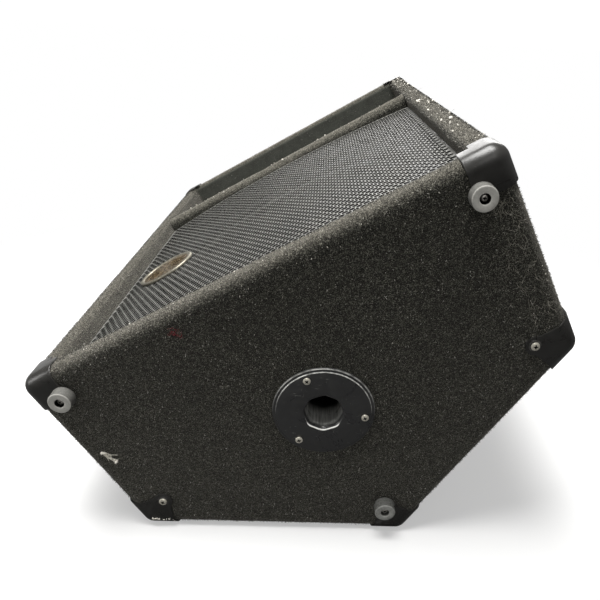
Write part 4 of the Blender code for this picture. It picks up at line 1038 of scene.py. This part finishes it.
bm = bmesh.new()          # the pale fleck low on the near side
for k in range(10):
    thread(bm, (0.0192 + 0.00045 * k, 0.0002, -0.1094 - 0.0012 * (k % 4)), (0.30, 0, -1), (0, -1, 0), r.uniform(0.008, 0.018), 0.00050, r, 6, 0.0010, 0.12)
m = bpy.data.meshes.new("fleck")
bm.to_mesh(m)
bm.free()
piece("pale_fleck", m, "flake", F, smooth=False)

bm = bmesh.new()          # a wisp of red fluff near the front rim
for k in range(9):
    thread(bm, (0.179 + 0.0045 * r.normal(), 0.0, -0.0225 + 0.0035 * r.normal()), (r.normal(), 0, r.normal()), (0, -1, 0), 0.011, 0.00013, r, 8, 0.0016, 1.0)
m = bpy.data.meshes.new("wisp")
bm.to_mesh(m)
bm.free()
piece("red_wisp", m, "red", F, smooth=False)

# ------------------------------------------------------------------ corner protectors
GUARD_T, GUARD_WRAP = 0.002, 0.036
CORNERS = pentagon()
NAMES = ("front", "lower_front", "bottom", "lower_back", "back")


def inward(i):
    a, b, c = CORNERS[i - 1], CORNERS[i], CORNERS[(i + 1) % 5]
    return ((a - b).normalized() + (c - b).normalized()).normalized()


FIXINGS = []
for i in range(5):
    if i == 0:
        FIXINGS.append(Vector((0.035, -0.031)))
    elif i == 4:
        FIXINGS.append(Vector((BAFFLE_LEN - 0.033, -0.032)))
    else:
        FIXINGS.append(CORNERS[i] + inward(i) * (0.0480 if i == 2 else 0.0442))


def guard_region(i):
    if i in (0, 4):
        hx, hy, rr = 0.038, 0.037, 0.007
        pts = [(-0.02, 0.02), (-0.02, -hy)]
        pts += [(hx - rr + rr * math.sin(math.radians(a)), -hy + rr - rr * math.cos(math.radians(a))) for a in range(0, 91, 10)]
        pts += [(hx, 0.02)]
        return [(u if i == 0 else BAFFLE_LEN - u, w) for u, w in (pts if i == 0 else pts[::-1])]
    b = inward(i)
    p = Vector((-b.y, b.x))
    half = [(-0.025, 0.041), (0.010, 0.041), (0.0185, 0.030), (0.0245, 0.0225), (0.040, 0.0112)]
    tip = [(0.0430 + 0.0105 * math.cos(math.radians(a)), 0.0105 * math.sin(math.radians(a))) for a in range(68, -69, -8)]
    if i == 2:
        tip = [(x + 0.004, y) for x, y in tip]
    loop = half + tip + [(x, -y) for x, y in half[::-1]]
    return [tuple(CORNERS[i] + b * x + p * y) for x, y in loop]


OPENING = ((U_A, Y_A, -0.10), (U_E, Y_E, 0.05))
outer_body, inner_body = body_mesh(-GUARD_T - GAP, 12, 10), body_mesh(-GAP, 12, 10)
for i, corner in enumerate(NAMES):
    for end in ("near", "far"):
        y0, y1 = (-0.02, GUARD_WRAP) if end == "near" else (WIDTH - GUARD_WRAP, WIDTH + 0.02)
        shell = combined(along_y([guard_region(i)], y0, y1), ("INTERSECT", outer_body.copy()), ("DIFFERENCE", inner_body.copy()),
                         ("DIFFERENCE", box_mesh(*OPENING)))
        shell = modified(shell, "BEVEL", width=0.0009, segments=3, limit_method="ANGLE", angle_limit=math.radians(40))
        piece(f"guard_{corner}_{end}", shell, "guard", F, replaces=[f"corner_{corner}_{end}"], angle=28)


# ------------------------------------------------------------------ screws
def screw_mesh(rad, height, dome=0.5, recess=True, shank=0.012, washer=0.0):
    """A pan head with a cross recess; local z is up, 0 is the seat."""
    prof = [(0.0, height)]
    for k in range(1, 9):
        a = math.pi / 2 * k / 8
        prof.append((rad * math.sin(a), height * (1 - dome) + height * dome * math.cos(a)))
    prof += [(rad, height * 0.12), (rad * 0.97, 0.0), (rad * 0.5, 0.0), (rad * 0.5, -shank), (0.0, -shank)]
    m = lathe(prof, 40)
    if recess:
        k, j = rad * 0.50, rad * 0.16
        plus = [(k, -j), (k, j), (j, j), (j, k), (-j, k), (-j, j), (-k, j), (-k, -j), (-j, -j), (-j, -k), (j, -k), (j, -j)]
        m = combined(m, ("DIFFERENCE", along_w([plus], height * 0.25, height + 0.002)))
        # Recess faces take the second slot, which the screw pieces fill with the hole material's painted shade.
        m.materials.append(None)
        m.materials.append(None)
        for f in m.polygons:
            c = f.center
            deep_face = abs(f.normal.z) > 0.9 and abs(c.z - height * 0.25) < 1e-5
            wall = abs(f.normal.z) < 0.1 and c.z > height * 0.2 and math.hypot(c.x, c.y) < rad * 0.7
            f.material_index = 1 if (deep_face or wall) else 0
    return m


pan = screw_mesh(0.0044, 0.0024)
small = screw_mesh(0.0039, 0.0024)
deep = screw_mesh(0.0034, 0.0034)


def screw(name, source, place, mat="zinc", replaces=()):
    return piece(name, source.copy(), mat, place, replaces=replaces, mats=[mat, "hole"])


Y_HARD = -(GUARD_T + 2 * GAP)
for i, spin in ((1, 0.5), (3, 1.1)):
    screw(f"guard_screw_{NAMES[i]}", pan, near_at(FIXINGS[i].x, FIXINGS[i].y, Y_HARD, spin), replaces=[f"protector_screw_{NAMES[i]}"])
    ring = lathe([(0.0046, 0.0004), (0.0062, 0.0002), (0.0064, -0.0002), (0.0046, -0.0002)], 40, True)
    piece(f"guard_dimple_{NAMES[i]}", ring, "guard", near_at(FIXINGS[i].x, FIXINGS[i].y, -(GUARD_T + GAP)))
for i in range(5):
    screw(f"guard_screw_{NAMES[i]}_far", pan, far_at(FIXINGS[i].x, FIXINGS[i].y, WIDTH + GUARD_T + GAP, 0.4 + i))
CUP_SCREWS = [Vector(CUP) + 0.0437 * Vector((math.cos(math.radians(a)), math.sin(math.radians(a)))) for a in (85.0, -35.0, -155.0)]
for k, p in enumerate(CUP_SCREWS):
    screw(f"socket_fixing_{k + 1}", small, near_at(p.x, p.y, -GAP - 0.0038 - GAP, 0.3 + 1.3 * k), replaces=[f"socket_screw_{k + 1}"])

# ------------------------------------------------------------------ feet
FOOT_R, FOOT_H = 0.0118, 0.0128
for i in (0, 2, 4):
    prof = [(0.0048, FOOT_H - 0.0008), (0.0053, FOOT_H - 0.0002), (0.0060, FOOT_H)]
    prof += [(FOOT_R - 0.0016 + 0.0016 * math.sin(a), FOOT_H - 0.0016 + 0.0016 * math.cos(a)) for a in np.linspace(0, math.pi / 2, 7)]
    prof += [(FOOT_R + 0.0001, 0.0040), (FOOT_R + 0.0003, 0.0012), (FOOT_R, 0.0), (0.0030, 0.0), (0.0030, 0.0066), (0.0046, 0.0068)]
    m = lathe(prof, 72, True)
    # Faces in the fixing recess take the second slot: the hole material's painted shade on the grey feet, the dark
    # rubber again on the bottom foot.
    m.materials.append(None)
    m.materials.append(None)
    for f in m.polygons:
        f.material_index = 1 if math.hypot(f.center.x, f.center.y) < 0.0052 and f.center.z < FOOT_H - 0.0008 else 0
    piece(f"foot_{NAMES[i]}_rubber", m, "foot_dark" if i == 2 else "foot", near_at(FIXINGS[i].x, FIXINGS[i].y, Y_HARD),
          replaces=[f"foot_{NAMES[i]}"], mats=["foot_dark", "foot_dark"] if i == 2 else ["foot", "hole"])
    screw(f"foot_fixing_{NAMES[i]}", deep, near_at(FIXINGS[i].x, FIXINGS[i].y, Y_HARD - 0.0070, 0.2 + i), "aged", replaces=[f"foot_screw_{NAMES[i]}"])

# ------------------------------------------------------------------ pole socket
SOCKET_AF, SOCKET_DEPTH = 0.038, 0.080
plate = lathe([(0.0, 0.0038), (0.0497, 0.0038), (0.0501, 0.0036), (0.0503, 0.0030), (0.0506, 0.0028), (0.0526, 0.0028),
               (0.0534, 0.0026), (0.0538, 0.0020), (0.0540, 0.0010), (0.0540, 0.0), (0.0290, 0.0),
               (0.0270, -SOCKET_DEPTH - 0.005), (0.0, -SOCKET_DEPTH - 0.005)], 128)
oct_r = SOCKET_AF / 2 / math.cos(math.pi / 8)


def octagon(rad, corner=0.004, n=4):
    pts = []
    c = [Vector((rad * math.cos(math.radians(-30 + 45 * k)), rad * math.sin(math.radians(-30 + 45 * k)))) for k in range(8)]
    for k in range(8):
        a, b, d = c[k - 1], c[k], c[(k + 1) % 8]
        p0, p1 = b + (a - b).normalized() * corner, b + (d - b).normalized() * corner
        for j in range(n + 1):
            t = j / n
            pts.append(p0 * (1 - t) ** 2 + b * 2 * t * (1 - t) + p1 * t ** 2)
    return pts


bm = bmesh.new()
rings = []
lead = 0.0045
levels = [(oct_r + lead + 0.0030, 0.0080)]
for k in range(9):
    a = math.pi / 2 * k / 8
    levels.append((oct_r + lead * (1 - math.sin(a)), 0.0039 - lead * (1 - math.cos(a))))
levels += [(oct_r - 0.0001, -0.020), (oct_r - 0.0002, -0.050), (oct_r - 0.0003, -SOCKET_DEPTH)]
for rad, z in levels:
    rings.append([bm.verts.new((p.x, p.y, z)) for p in octagon(rad)])
for a, b in zip(rings, rings[1:]):
    for k in range(len(a)):
        bm.faces.new((a[k], a[(k + 1) % len(a)], b[(k + 1) % len(a)], b[k]))
bm.faces.new(rings[0])
bm.faces.new(rings[-1][::-1])
bmesh.ops.recalc_face_normals(bm, faces=bm.faces[:])
t = bpy.data.meshes.new("socket")
bm.to_mesh(t)
bm.free()
m = combined(plate, ("DIFFERENCE", t))
piece("pole_cup", m, "cup", near_at(CUP[0], CUP[1], -GAP), replaces=["pole_socket"], angle=30)

# ------------------------------------------------------------------ grille: bowed perforated sheet
G_HALF = (BAFFLE_LEN - 2 * RIM) / 2 - 0.0008
SAG = GRILLE_END - GRILLE_MID
G_R = (G_HALF ** 2 + SAG ** 2) / (2 * SAG)
MIDU = BAFFLE_LEN / 2


def grille_w(u):
    return -GRILLE_MID - (G_R - math.sqrt(max(G_R ** 2 - (u - MIDU) ** 2, 0)))


G_Y0, G_Y1 = RIM + 0.0005, DIVIDER_Y - half_out - 0.0005
G_U0, G_U1 = MIDU - G_HALF, MIDU + G_HALF


def grille_mesh():
    pitch, hole, sides = 0.00805, 0.00367, 12
    row = pitch * math.sqrt(3) / 2
    flange, bend = BAFFLE_DEPTH + grille_w(G_U0) - 0.001, 0.003
    verts, index, faces = [], {}, []

    def put(u, y):
        u, y = min(max(u, G_U0), G_U1), min(max(y, G_Y0), G_Y1)
        key = (round(u * 1e5), round(y * 1e5))
        if key not in index:
            index[key] = len(verts)
            verts.append((u, y, grille_w(u)))
        return index[key]

    rows = int((G_Y1 - G_Y0) / row) + 2
    cols = int((G_U1 - G_U0) / pitch) + 3
    rh = pitch / math.sqrt(3)
    for j in range(rows):
        cy = G_Y0 + 0.004 + j * row
        for i in range(cols):
            cu = G_U0 + (i - 0.5) * pitch + (pitch / 2 if j % 2 else 0) + 0.002
            corners = [(cu + rh * math.cos(math.radians(30 + 60 * k)), cy + rh * math.sin(math.radians(30 + 60 * k))) for k in range(6)]
            ids = [put(*c) for c in corners]
            ring = [x for k, x in enumerate(ids) if x != ids[k - 1]]
            if len(set(ring)) < 3:
                continue
            solid = min(cu - G_U0, G_U1 - cu, cy - G_Y0, G_Y1 - cy) < hole + 0.0006
            if solid:
                faces.append(tuple(dict.fromkeys(ring)))
                continue
            hv = []
            for k in range(sides):
                a = math.radians(30 + 30 * k)
                hv.append(len(verts))
                u, y = cu + hole * math.cos(a), cy + hole * math.sin(a)
                verts.append((u, y, grille_w(u)))
            for k in range(6):
                a, b = ids[k], ids[(k + 1) % 6]
                faces.append((a, b, hv[(2 * k + 2) % sides], hv[2 * k + 1], hv[2 * k]))
    m = bpy.data.meshes.new("grille")
    m.from_pydata(verts, [], faces)
    m.materials.append(MAT["grille"])
    m.materials.append(MAT["hole"])
    bm = bmesh.new()
    bm.from_mesh(m)
    bmesh.ops.recalc_face_normals(bm, faces=bm.faces[:])
    if sum(f.normal.z for f in bm.faces) < 0:
        bmesh.ops.reverse_faces(bm, faces=bm.faces[:])
    # bend both ends down onto the baffle board
    for sgn, edge_u in ((-1, G_U0), (1, G_U1)):
        rim = [e for e in bm.edges if len(e.link_faces) == 1 and all(abs(q.co.x - edge_u) < 1e-6 for q in e.verts)]
        steps = [(0.0, 0.0)]
        base_w = grille_w(edge_u)
        levels = [(0.0002, -0.0006), (0.0003, -0.0014), (0.0003, -0.0070), (0.0003, -(base_w + BAFFLE_DEPTH) + 0.0006)]
        cur = rim
        for du, dw in levels:
            geom = bmesh.ops.extrude_edge_only(bm, edges=cur)["geom"]
            vs = [x for x in geom if isinstance(x, bmesh.types.BMVert)]
            for q in vs:
                q.co.x, q.co.z = edge_u + sgn * du, base_w + dw
            cur = [x for x in geom if isinstance(x, bmesh.types.BMEdge) and all(q in vs for q in x.verts)]
    bmesh.ops.recalc_face_normals(bm, faces=bm.faces[:])
    top = [f for f in bm.faces if abs(f.normal.z) > 0.8]
    if sum(f.normal.z for f in top) < 0:
        bmesh.ops.reverse_faces(bm, faces=bm.faces[:])
    bm.to_mesh(m)
    bm.free()
    # The hole walls take the second slot, the hole material's painted shade.
    return modified(m, "SOLIDIFY", thickness=0.0009, offset=-1.0, use_even_offset=False, material_offset_rim=1)


piece("grille_perforated", grille_mesh(), "grille", F, replaces=["grille"], angle=40, mats=["grille", "hole"])

# ------------------------------------------------------------------ badge: unlettered oval with a bright rim
BU, BY = 0.098, 0.235
SA, SB = 0.048, 0.0355
tilt = math.atan((BU - MIDU) / math.sqrt(G_R ** 2 - (BU - MIDU) ** 2))


def oval_mesh(profile, steps=96, relief=None):
    verts, faces = [], []
    rings = []
    for s, z in profile:
        if s < 1e-6:
            rings.append([len(verts)])
            verts.append((0, 0, z + (relief(0, 0) if relief else 0)))
            continue
        ids = []
        for k in range(steps):
            a = 2 * math.pi * k / steps
            ids.append(len(verts))
            verts.append((SA * s * math.cos(a), SB * s * math.sin(a), z + (relief(s, a) if relief and z > 0.001 else 0)))
        rings.append(ids)
    for a, b in zip(rings, rings[1:]):
        for k in range(steps):
            k2 = (k + 1) % steps
            if len(a) == 1:
                faces.append((a[0], b[k], b[k2]))
            elif len(b) == 1:
                faces.append((a[k], b[0], a[k2]))
            else:
                faces.append((a[k], b[k], b[k2], a[k2]))
    m = bpy.data.meshes.new("oval")
    m.from_pydata(verts, [], faces)
    return weld(m)


def flutes(s, a):
    """Shallow radial flutes that fade towards the middle and the rim."""
    return 0.0009 * math.sin(13 * a) * math.sin(math.pi * min(max((s - 0.18) / 0.66, 0), 1)) + 0.0006 * math.exp(-(s / 0.17) ** 2)


place_badge = F @ Matrix.Translation((BU, BY, grille_w(BU) + 0.0006)) @ Matrix.Rotation(tilt, 4, "Y") @ Matrix.Rotation(math.radians(-31), 4, "Z")
rings = [(0.0, 0.0020)] + [(0.04 * k, 0.0020 + 0.0004 * math.cos(math.pi / 2 * k / 22)) for k in range(1, 22)] + [(0.86, 0.0014), (0.86, 0.0), (0.0, 0.0)]
piece("badge_field", oval_mesh(rings, 156, flutes), "bronze", place_badge, replaces=["badge"], angle=60)
rim = [(0.868, 0.0012)] + [(0.93 + 0.07 * -math.cos(t), 0.0014 + 0.0018 * math.sin(t)) for t in np.linspace(0.15, math.pi - 0.2, 10)] + [(1.0, 0.0), (0.868, 0.0)]
m = oval_mesh(rim + [rim[0]], 128)
piece("badge_rim", m, "silver", place_badge, angle=50)

# ------------------------------------------------------------------ woofer
wl = up_at(WOOFER[0], WOOFER[1], WZ)
CONE = "woofer_cone_assembly"
cone_out = [(0.0345 + (0.1500 - 0.0345) * t, -0.0920 + 0.0860 * t ** 1.18) for t in np.linspace(0, 1, 22)]
front = []
for r_, z_ in cone_out:
    front.append((r_, z_ + 0.0014 + 0.0005 * max(0.0, math.sin((r_ - 0.07) / 0.0032)) * (r_ > 0.07)))
piece("cone_paper", lathe(cone_out[::-1] + front, 96, True), "cone", wl.copy(), CONE, ["woofer_cone"], 50)
roll = [(0.1600 - 0.0078 * math.cos(a), -0.0035 + 0.0062 * math.sin(a)) for a in np.linspace(0, math.pi, 17)]
roll_in = [(0.1600 - 0.0066 * math.cos(a), -0.0035 + 0.0050 * math.sin(a)) for a in np.linspace(0, math.pi, 17)]
sur = roll + [(0.1690, -0.0030), (0.1690, -0.0042), (0.1672, -0.0042)] + roll_in[::-1][1:-1] + [(0.1530, -0.0042), (0.1506, -0.0042), (0.1506, -0.0035)]
piece("cone_surround", lathe(sur, 96, True), "surround", wl.copy(), CONE, ["woofer_surround"], 50)
cap = [(0.0500 * math.sin(a), -0.0815 + 0.0230 * math.cos(a)) for a in np.linspace(0, math.pi / 2, 14)]
cap_in = [(0.0488 * math.sin(a), -0.0815 + 0.0218 * math.cos(a)) for a in np.linspace(0, math.pi / 2, 14)]
piece("dust_cap", lathe(cap + cap_in[::-1], 72), "cone", wl.copy(), CONE, ["woofer_dust_cap"], 50)
piece("frame_gasket", lathe([(0.1722, 0.0043), (0.1722, 0.0076), (0.1730, 0.0081), (0.1922, 0.0081), (0.1932, 0.0076), (0.1935, 0.0066), (0.1935, 0.0043)][::1], 120, True),
      "surround", wl.copy(), ROOT, ["woofer_gasket"], 50)
bolt = screw_mesh(0.0050, 0.0030, 0.3)
for k in range(8):
    a = math.radians(22.5 + 45 * k)
    piece(f"woofer_bolt_{k + 1}", bolt.copy(), None, up_at(WOOFER[0] + 0.1830 * math.cos(a), WOOFER[1] + 0.1830 * math.sin(a), WZ + 0.0083, a),
          mats=["black_screw", "hole"])

# ------------------------------------------------------------------ horn
HORN_HX, HORN_HY = 0.170, 0.095


def horn_mesh():
    n, depth, mouth = 8, 0.135, (0.156, 0.081)
    rings = [(HORN_HX, HORN_HY, 0.009, 0.0), (HORN_HX, HORN_HY, 0.009, 0.0028), (HORN_HX - 0.0004, HORN_HY - 0.0004, 0.009, 0.0036),
             (HORN_HX - 0.0012, HORN_HY - 0.0012, 0.008, 0.0040), (mouth[0] + 0.0030, mouth[1] + 0.0030, 0.0125, 0.0040),
             (mouth[0] + 0.0012, mouth[1] + 0.0012, 0.0112, 0.0037)]
    inner = []
    for k in range(34):
        t = k / 33
        f = math.exp(-3.0 * t) * (1 - t)
        hx = 0.0125 + (mouth[0] - 0.0125) * (0.55 * f + 0.45 * (1 - t) ** 2)
        hy = 0.0125 + (mouth[1] - 0.0125) * (0.45 * f + 0.55 * (1 - t) ** 1.3)
        inner.append((hx, hy, 0.010 + 0.0024 * t, 0.0030 - (depth + 0.0030) * t))
    rings += inner
    outer = [(hx + 0.0032, hy + 0.0032, rad + 0.0032, min(z, -0.0005)) for hx, hy, rad, z in inner[1:]]
    rings += outer[::-1]
    rings += [(inner[0][0] + 0.0036, inner[0][1] + 0.0036, 0.013, 0.0)]
    bm = bmesh.new()
    made = []
    for hx, hy, rad, z in rings:
        rad = min(rad, hx - 1e-5, hy - 1e-5)
        made.append([bm.verts.new((x, y, z)) for x, y in rect(0, 0, hx, hy, rad, n)])
    for a, b in zip(made, made[1:] + made[:1]):
        for k in range(len(a)):
            bm.faces.new((a[k], a[(k + 1) % len(a)], b[(k + 1) % len(a)], b[k]))
    bmesh.ops.recalc_face_normals(bm, faces=bm.faces[:])
    m = bpy.data.meshes.new("horn")
    bm.to_mesh(m)
    bm.free()
    return m


piece("horn_moulding", horn_mesh(), "horn", up_at(HORN[0], HORN[1], WZ), replaces=["horn_flare"], angle=45)
for k, (sx, sy) in enumerate(((-1, -1), (0, -1), (1, -1), (-1, 1), (0, 1), (1, 1))):
    piece(f"horn_screw_{k + 1}", small.copy(), None,
          up_at(HORN[0] + sx * (HORN_HX - 0.0068), HORN[1] + sy * (HORN_HY - 0.0062), WZ + 0.0041, 0.7 * k), mats=["black_screw", "hole"])

# ------------------------------------------------------------------ input plate
PLATE_HX, PLATE_HY, PT = 0.043, 0.075, 0.002
JACKS = ((PLATE[0], PLATE[1] - 0.050), (PLATE[0], PLATE[1] - 0.022))
KNOB = (PLATE[0], PLATE[1] + 0.046)
SWITCH = (PLATE[0], PLATE[1] + 0.012)
m = along_w([rect(*PLATE, PLATE_HX, PLATE_HY, 0.004)] + [circle(*j, 0.0053, 40) for j in JACKS]
            + [circle(*KNOB, 0.0045, 40), rect(*SWITCH, 0.0070, 0.0032)], WZ, WZ + PT)
m = modified(m, "BEVEL", width=0.0004, segments=2, limit_method="ANGLE", angle_limit=math.radians(50))
piece("input_panel", m, "panel", F, replaces=["input_plate"], angle=10)
for k, (name, j) in enumerate(zip(("jack_input", "jack_link"), JACKS)):
    nut = along_w([circle(0, 0, 0.0078, 6, 0.2 + k), circle(0, 0, 0.0050, 32)], PT + GAP, PT + 0.0026)
    nut = modified(nut, "BEVEL", width=0.0003, segments=2, limit_method="ANGLE", angle_limit=math.radians(50))
    piece(f"{name}_nut", nut, "nickel", up_at(j[0], j[1], WZ), replaces=[name], angle=35)
    barrel = lathe([(0.0034, PT + 0.0036), (0.0040, PT + 0.0042), (0.0046, PT + 0.0042), (0.0049, PT + 0.0038), (0.0049, -0.0180), (0.0095, -0.0180),
                    (0.0095, -0.0280), (0.0034, -0.0280)], 48, True)
    piece(f"{name}_barrel", barrel, "nickel", up_at(j[0], j[1], WZ))
knob_prof = [(0.0, 0.0176), (0.0060, 0.0176), (0.0068, 0.0180), (0.0084, 0.0180), (0.0090, 0.0176), (0.0093, 0.0170), (0.0098, 0.0060), (0.0112, 0.0040),
             (0.0113, PT + 0.0008), (0.0030, PT + 0.0006), (0.0030, -0.0120), (0.0, -0.0120)]
ribs = lambda r_, z_, a: -0.0004 * (0.5 + 0.5 * math.cos(24 * a)) if (0.0055 < z_ < 0.0172 and r_ > 0.0092) else 0.0
piece("level_knob_cap", lathe(knob_prof, 144, False, ribs), "knob", up_at(KNOB[0], KNOB[1], WZ), "level_knob_body", ["level_knob"], 30)
line = modified(box_mesh((0.0032, -0.00045, 0.0176), (0.0090, 0.00045, 0.0182)), "BEVEL", width=0.0002, segments=1)
piece("level_knob_line", line, "mark", up_at(KNOB[0], KNOB[1], WZ), "level_knob_body")
bm = bmesh.new()          # scale marks round the knob
for k in range(11):
    a = math.radians(-150 + 30 * k)
    made = bmesh.ops.create_cube(bm, size=1.0)["verts"]
    ln = 0.0034 if k % 5 == 0 else 0.0022
    for q in made:
        q.co = Vector((0.0140 + ln / 2 + q.co.x * ln, q.co.y * 0.0006, PT + 0.00008 + q.co.z * 0.00012))
    bmesh.ops.rotate(bm, verts=made, cent=(0, 0, 0), matrix=Matrix.Rotation(a, 3, "Z"))
m = bpy.data.meshes.new("marks")
bm.to_mesh(m)
bm.free()
piece("level_scale_marks", m, "mark", up_at(KNOB[0], KNOB[1], WZ), smooth=False)
m = box_mesh((-0.0030, -0.0026, -0.0080), (0.0030, 0.0026, PT + 0.0045))
grooves = [("DIFFERENCE", box_mesh((-0.0020 + 0.0013 * k, -0.004, PT + 0.0039), (-0.0020 + 0.0013 * k + 0.0006, 0.004, PT + 0.006))) for k in range(4)]
m = combined(m, *grooves)
m = modified(m, "BEVEL", width=0.00025, segments=2, limit_method="ANGLE", angle_limit=math.radians(50))
piece("mode_slider_cap", m, "knob", up_at(SWITCH[0], SWITCH[1], WZ), "mode_slider_body", ["mode_slider"], 35)
for k, (sx, sy) in enumerate(((-1, -1), (1, -1), (-1, 1), (1, 1))):
    piece(f"panel_screw_{k + 1}", small.copy(), None,
          up_at(PLATE[0] + sx * (PLATE_HX - 0.006), PLATE[1] + sy * (PLATE_HY - 0.006), WZ + PT + 0.0001, 0.5 + k), mats=["black_screw", "hole"])

# ------------------------------------------------------------------ materials for the CAD nodes that stay
STAY = {
    "wood": ["side_panel_near", "side_panel_far", "front_wall", "base_panel", "sloped_panel", "back_wall", "divider_batten"],
    "board_paint": ["baffle_board"], "cast": ["woofer_frame"], "motor": ["woofer_magnet"], "copper": ["woofer_voice_coil", "crossover_coil"],
    "spider": ["woofer_spider"], "horn": ["driver_body"], "titanium": ["driver_diaphragm"], "nickel": ["level_pot", "mode_switch"],
    "pcb": ["crossover_board"], "cable": ["woofer_cable", "horn_cable", "input_cable"], "wadding": ["damping_pad"],
}
for key, names in STAY.items():
    for name in names:
        o = NODES[name]
        o.data.materials.clear()
        o.data.materials.append(MAT[key])


# ------------------------------------------------------------------ floor, light and camera
def sweep():
    """A pale floor, seen paler by the camera than by bounced and reflected light, that glows white away from the object
    and in front of it as painted light, with a glowing patch back-left seen only in reflections.
    """
    g = Graph("pale_floor", 0.7, 0.0, 0.15)
    seen = g.nt.nodes.new("ShaderNodeLightPath").outputs["Is Camera Ray"]
    shiny = g.nt.nodes.new("ShaderNodeLightPath").outputs["Is Glossy Ray"]
    g.set("Base Color", g.mix(seen, g.mix(shiny, (0.30, 0.30, 0.30), (0.10, 0.10, 0.10)), g.mix(g.noise(0.4, 2), (0.90, 0.90, 0.90), (0.87, 0.87, 0.87))))
    length = g.nt.nodes.new("ShaderNodeVectorMath")
    length.operation = "LENGTH"
    g.nt.links.new(g.co, length.inputs[0])
    glow = g.nt.nodes.new("ShaderNodeEmission")
    glow.inputs["Color"].default_value = (1.0, 1.0, 1.0, 1.0)
    blend = g.nt.nodes.new("ShaderNodeMixShader")
    where = g.nt.nodes.new("ShaderNodeSeparateXYZ")
    g.nt.links.new(g.co, where.inputs[0])
    # Painted light: for camera rays the floor glows white away from the object and in front of it, and at least a
    # little everywhere.
    far = g.math("MAXIMUM", g.span(length.outputs["Value"], 0.42, 0.95), g.span(where.outputs["Y"], -0.36, -0.50))
    far = g.math("MULTIPLY", g.math("MAXIMUM", far, 0.36), seen)
    # A glowing patch back-left, seen only by glossy rays: painted reflection.
    reflection_glow_patch = g.math("MULTIPLY", g.math("MULTIPLY", g.span(where.outputs["X"], -0.50, -0.75), g.span(where.outputs["Y"], -0.15, 0.10)), 0.75)
    g.nt.links.new(g.math("MAXIMUM", far, g.math("MULTIPLY", reflection_glow_patch, shiny)), blend.inputs[0])
    g.nt.links.new(g.b.outputs[0], blend.inputs[1])
    g.nt.links.new(glow.outputs[0], blend.inputs[2])
    out = [n for n in g.nt.nodes if n.bl_idname == "ShaderNodeOutputMaterial"][0]
    g.nt.links.new(blend.outputs[0], out.inputs["Surface"])
    return g.mat


bm = bmesh.new()
bmesh.ops.create_grid(bm, x_segments=2, y_segments=2, size=60.0)
m = bpy.data.meshes.new("floor")
bm.to_mesh(m)
bm.free()
m.materials.append(sweep())
floor = bpy.data.objects.new("floor", m)
floor.location = (0, 0, -0.0003)
bpy.context.scene.collection.objects.link(floor)

world = bpy.data.worlds.new("studio")
bpy.context.scene.world = world
world.use_nodes = True
bg = world.node_tree.nodes["Background"]
bg.inputs["Color"].default_value = (1.0, 0.995, 0.985, 1.0)
bg.inputs["Strength"].default_value = 0.35
path = world.node_tree.nodes.new("ShaderNodeLightPath")
level = world.node_tree.nodes.new("ShaderNodeMapRange")
level.inputs["To Min"].default_value, level.inputs["To Max"].default_value = 0.22, 1.05
world.node_tree.links.new(path.outputs["Is Camera Ray"], level.inputs["Value"])
world.node_tree.links.new(level.outputs["Result"], bg.inputs["Strength"])


def area(name, loc, aim, size, power, colour=(1, 1, 1)):
    light = bpy.data.lights.new(name, "AREA")
    light.shape = "RECTANGLE"
    light.size, light.size_y = size
    light.energy = power
    light.color = colour
    o = bpy.data.objects.new(name, light)
    o.location = loc
    o.rotation_euler = (Vector(aim) - Vector(loc)).to_track_quat("-Z", "Y").to_euler()
    bpy.context.scene.collection.objects.link(o)
    return o


area("overhead", (-0.35, -0.20, 2.1), (0.0, 0.0, 0.2), (1.3, 0.9), 84.0, (1.0, 0.995, 0.98))
area("backdrop", (0.35, 3.2, 1.50), (0.1, 0.0, 0.3), (3.2, 1.5), 66.0, (1.0, 0.99, 0.975))
area("front", (0.1, -2.6, 1.9), (0.0, -0.2, 0.15), (1.0, 0.6), 8.5, (1.0, 0.995, 0.98))
area("left", (-2.0, -0.77, 0.75), (-0.2, -0.2, 0.2), (0.5, 0.9), 9.0, (1.0, 0.99, 0.97))

cam = bpy.data.cameras.new("camera")
cam.sensor_width = 36.0
cam.lens = 554.883 / 600 * 36
cam.shift_x = (300 - 336.869) / 600
cam.shift_y = (324.100 - 300) / 600
cam.clip_start, cam.clip_end = 0.01, 60
yaw, pitch, roll = -0.0397617, -0.4867602, -0.0555243
cw, sw, cp, sp, cr, sr = math.cos(yaw), math.sin(yaw), math.cos(pitch), math.sin(pitch), math.cos(roll), math.sin(roll)
Rz = Matrix(((cw, sw, 0), (-sw, cw, 0), (0, 0, 1)))
Rx = Matrix(((1, 0, 0), (0, cp, sp), (0, -sp, cp)))
Ry = Matrix(((cr, 0, -sr), (0, 1, 0), (sr, 0, cr)))
M = Ry @ Rx @ Rz                       # row frame to camera: right, forward, up
eye = Vector((0.1911518, -0.4720641, 0.5250682)) + ORIGIN + Vector((0.110, 0.0, -WALL_H * COS))
camera = bpy.data.objects.new("camera", cam)
camera.matrix_world = Matrix(((M[0][0], M[2][0], -M[1][0], eye.x), (M[0][1], M[2][1], -M[1][1], eye.y),
                              (M[0][2], M[2][2], -M[1][2], eye.z), (0, 0, 0, 1)))
bpy.context.scene.collection.objects.link(camera)
bpy.context.scene.camera = camera

view = bpy.context.scene.view_settings
view.view_transform = "Standard"
view.look = "None"
view.exposure = 0.0
view.gamma = 1.0
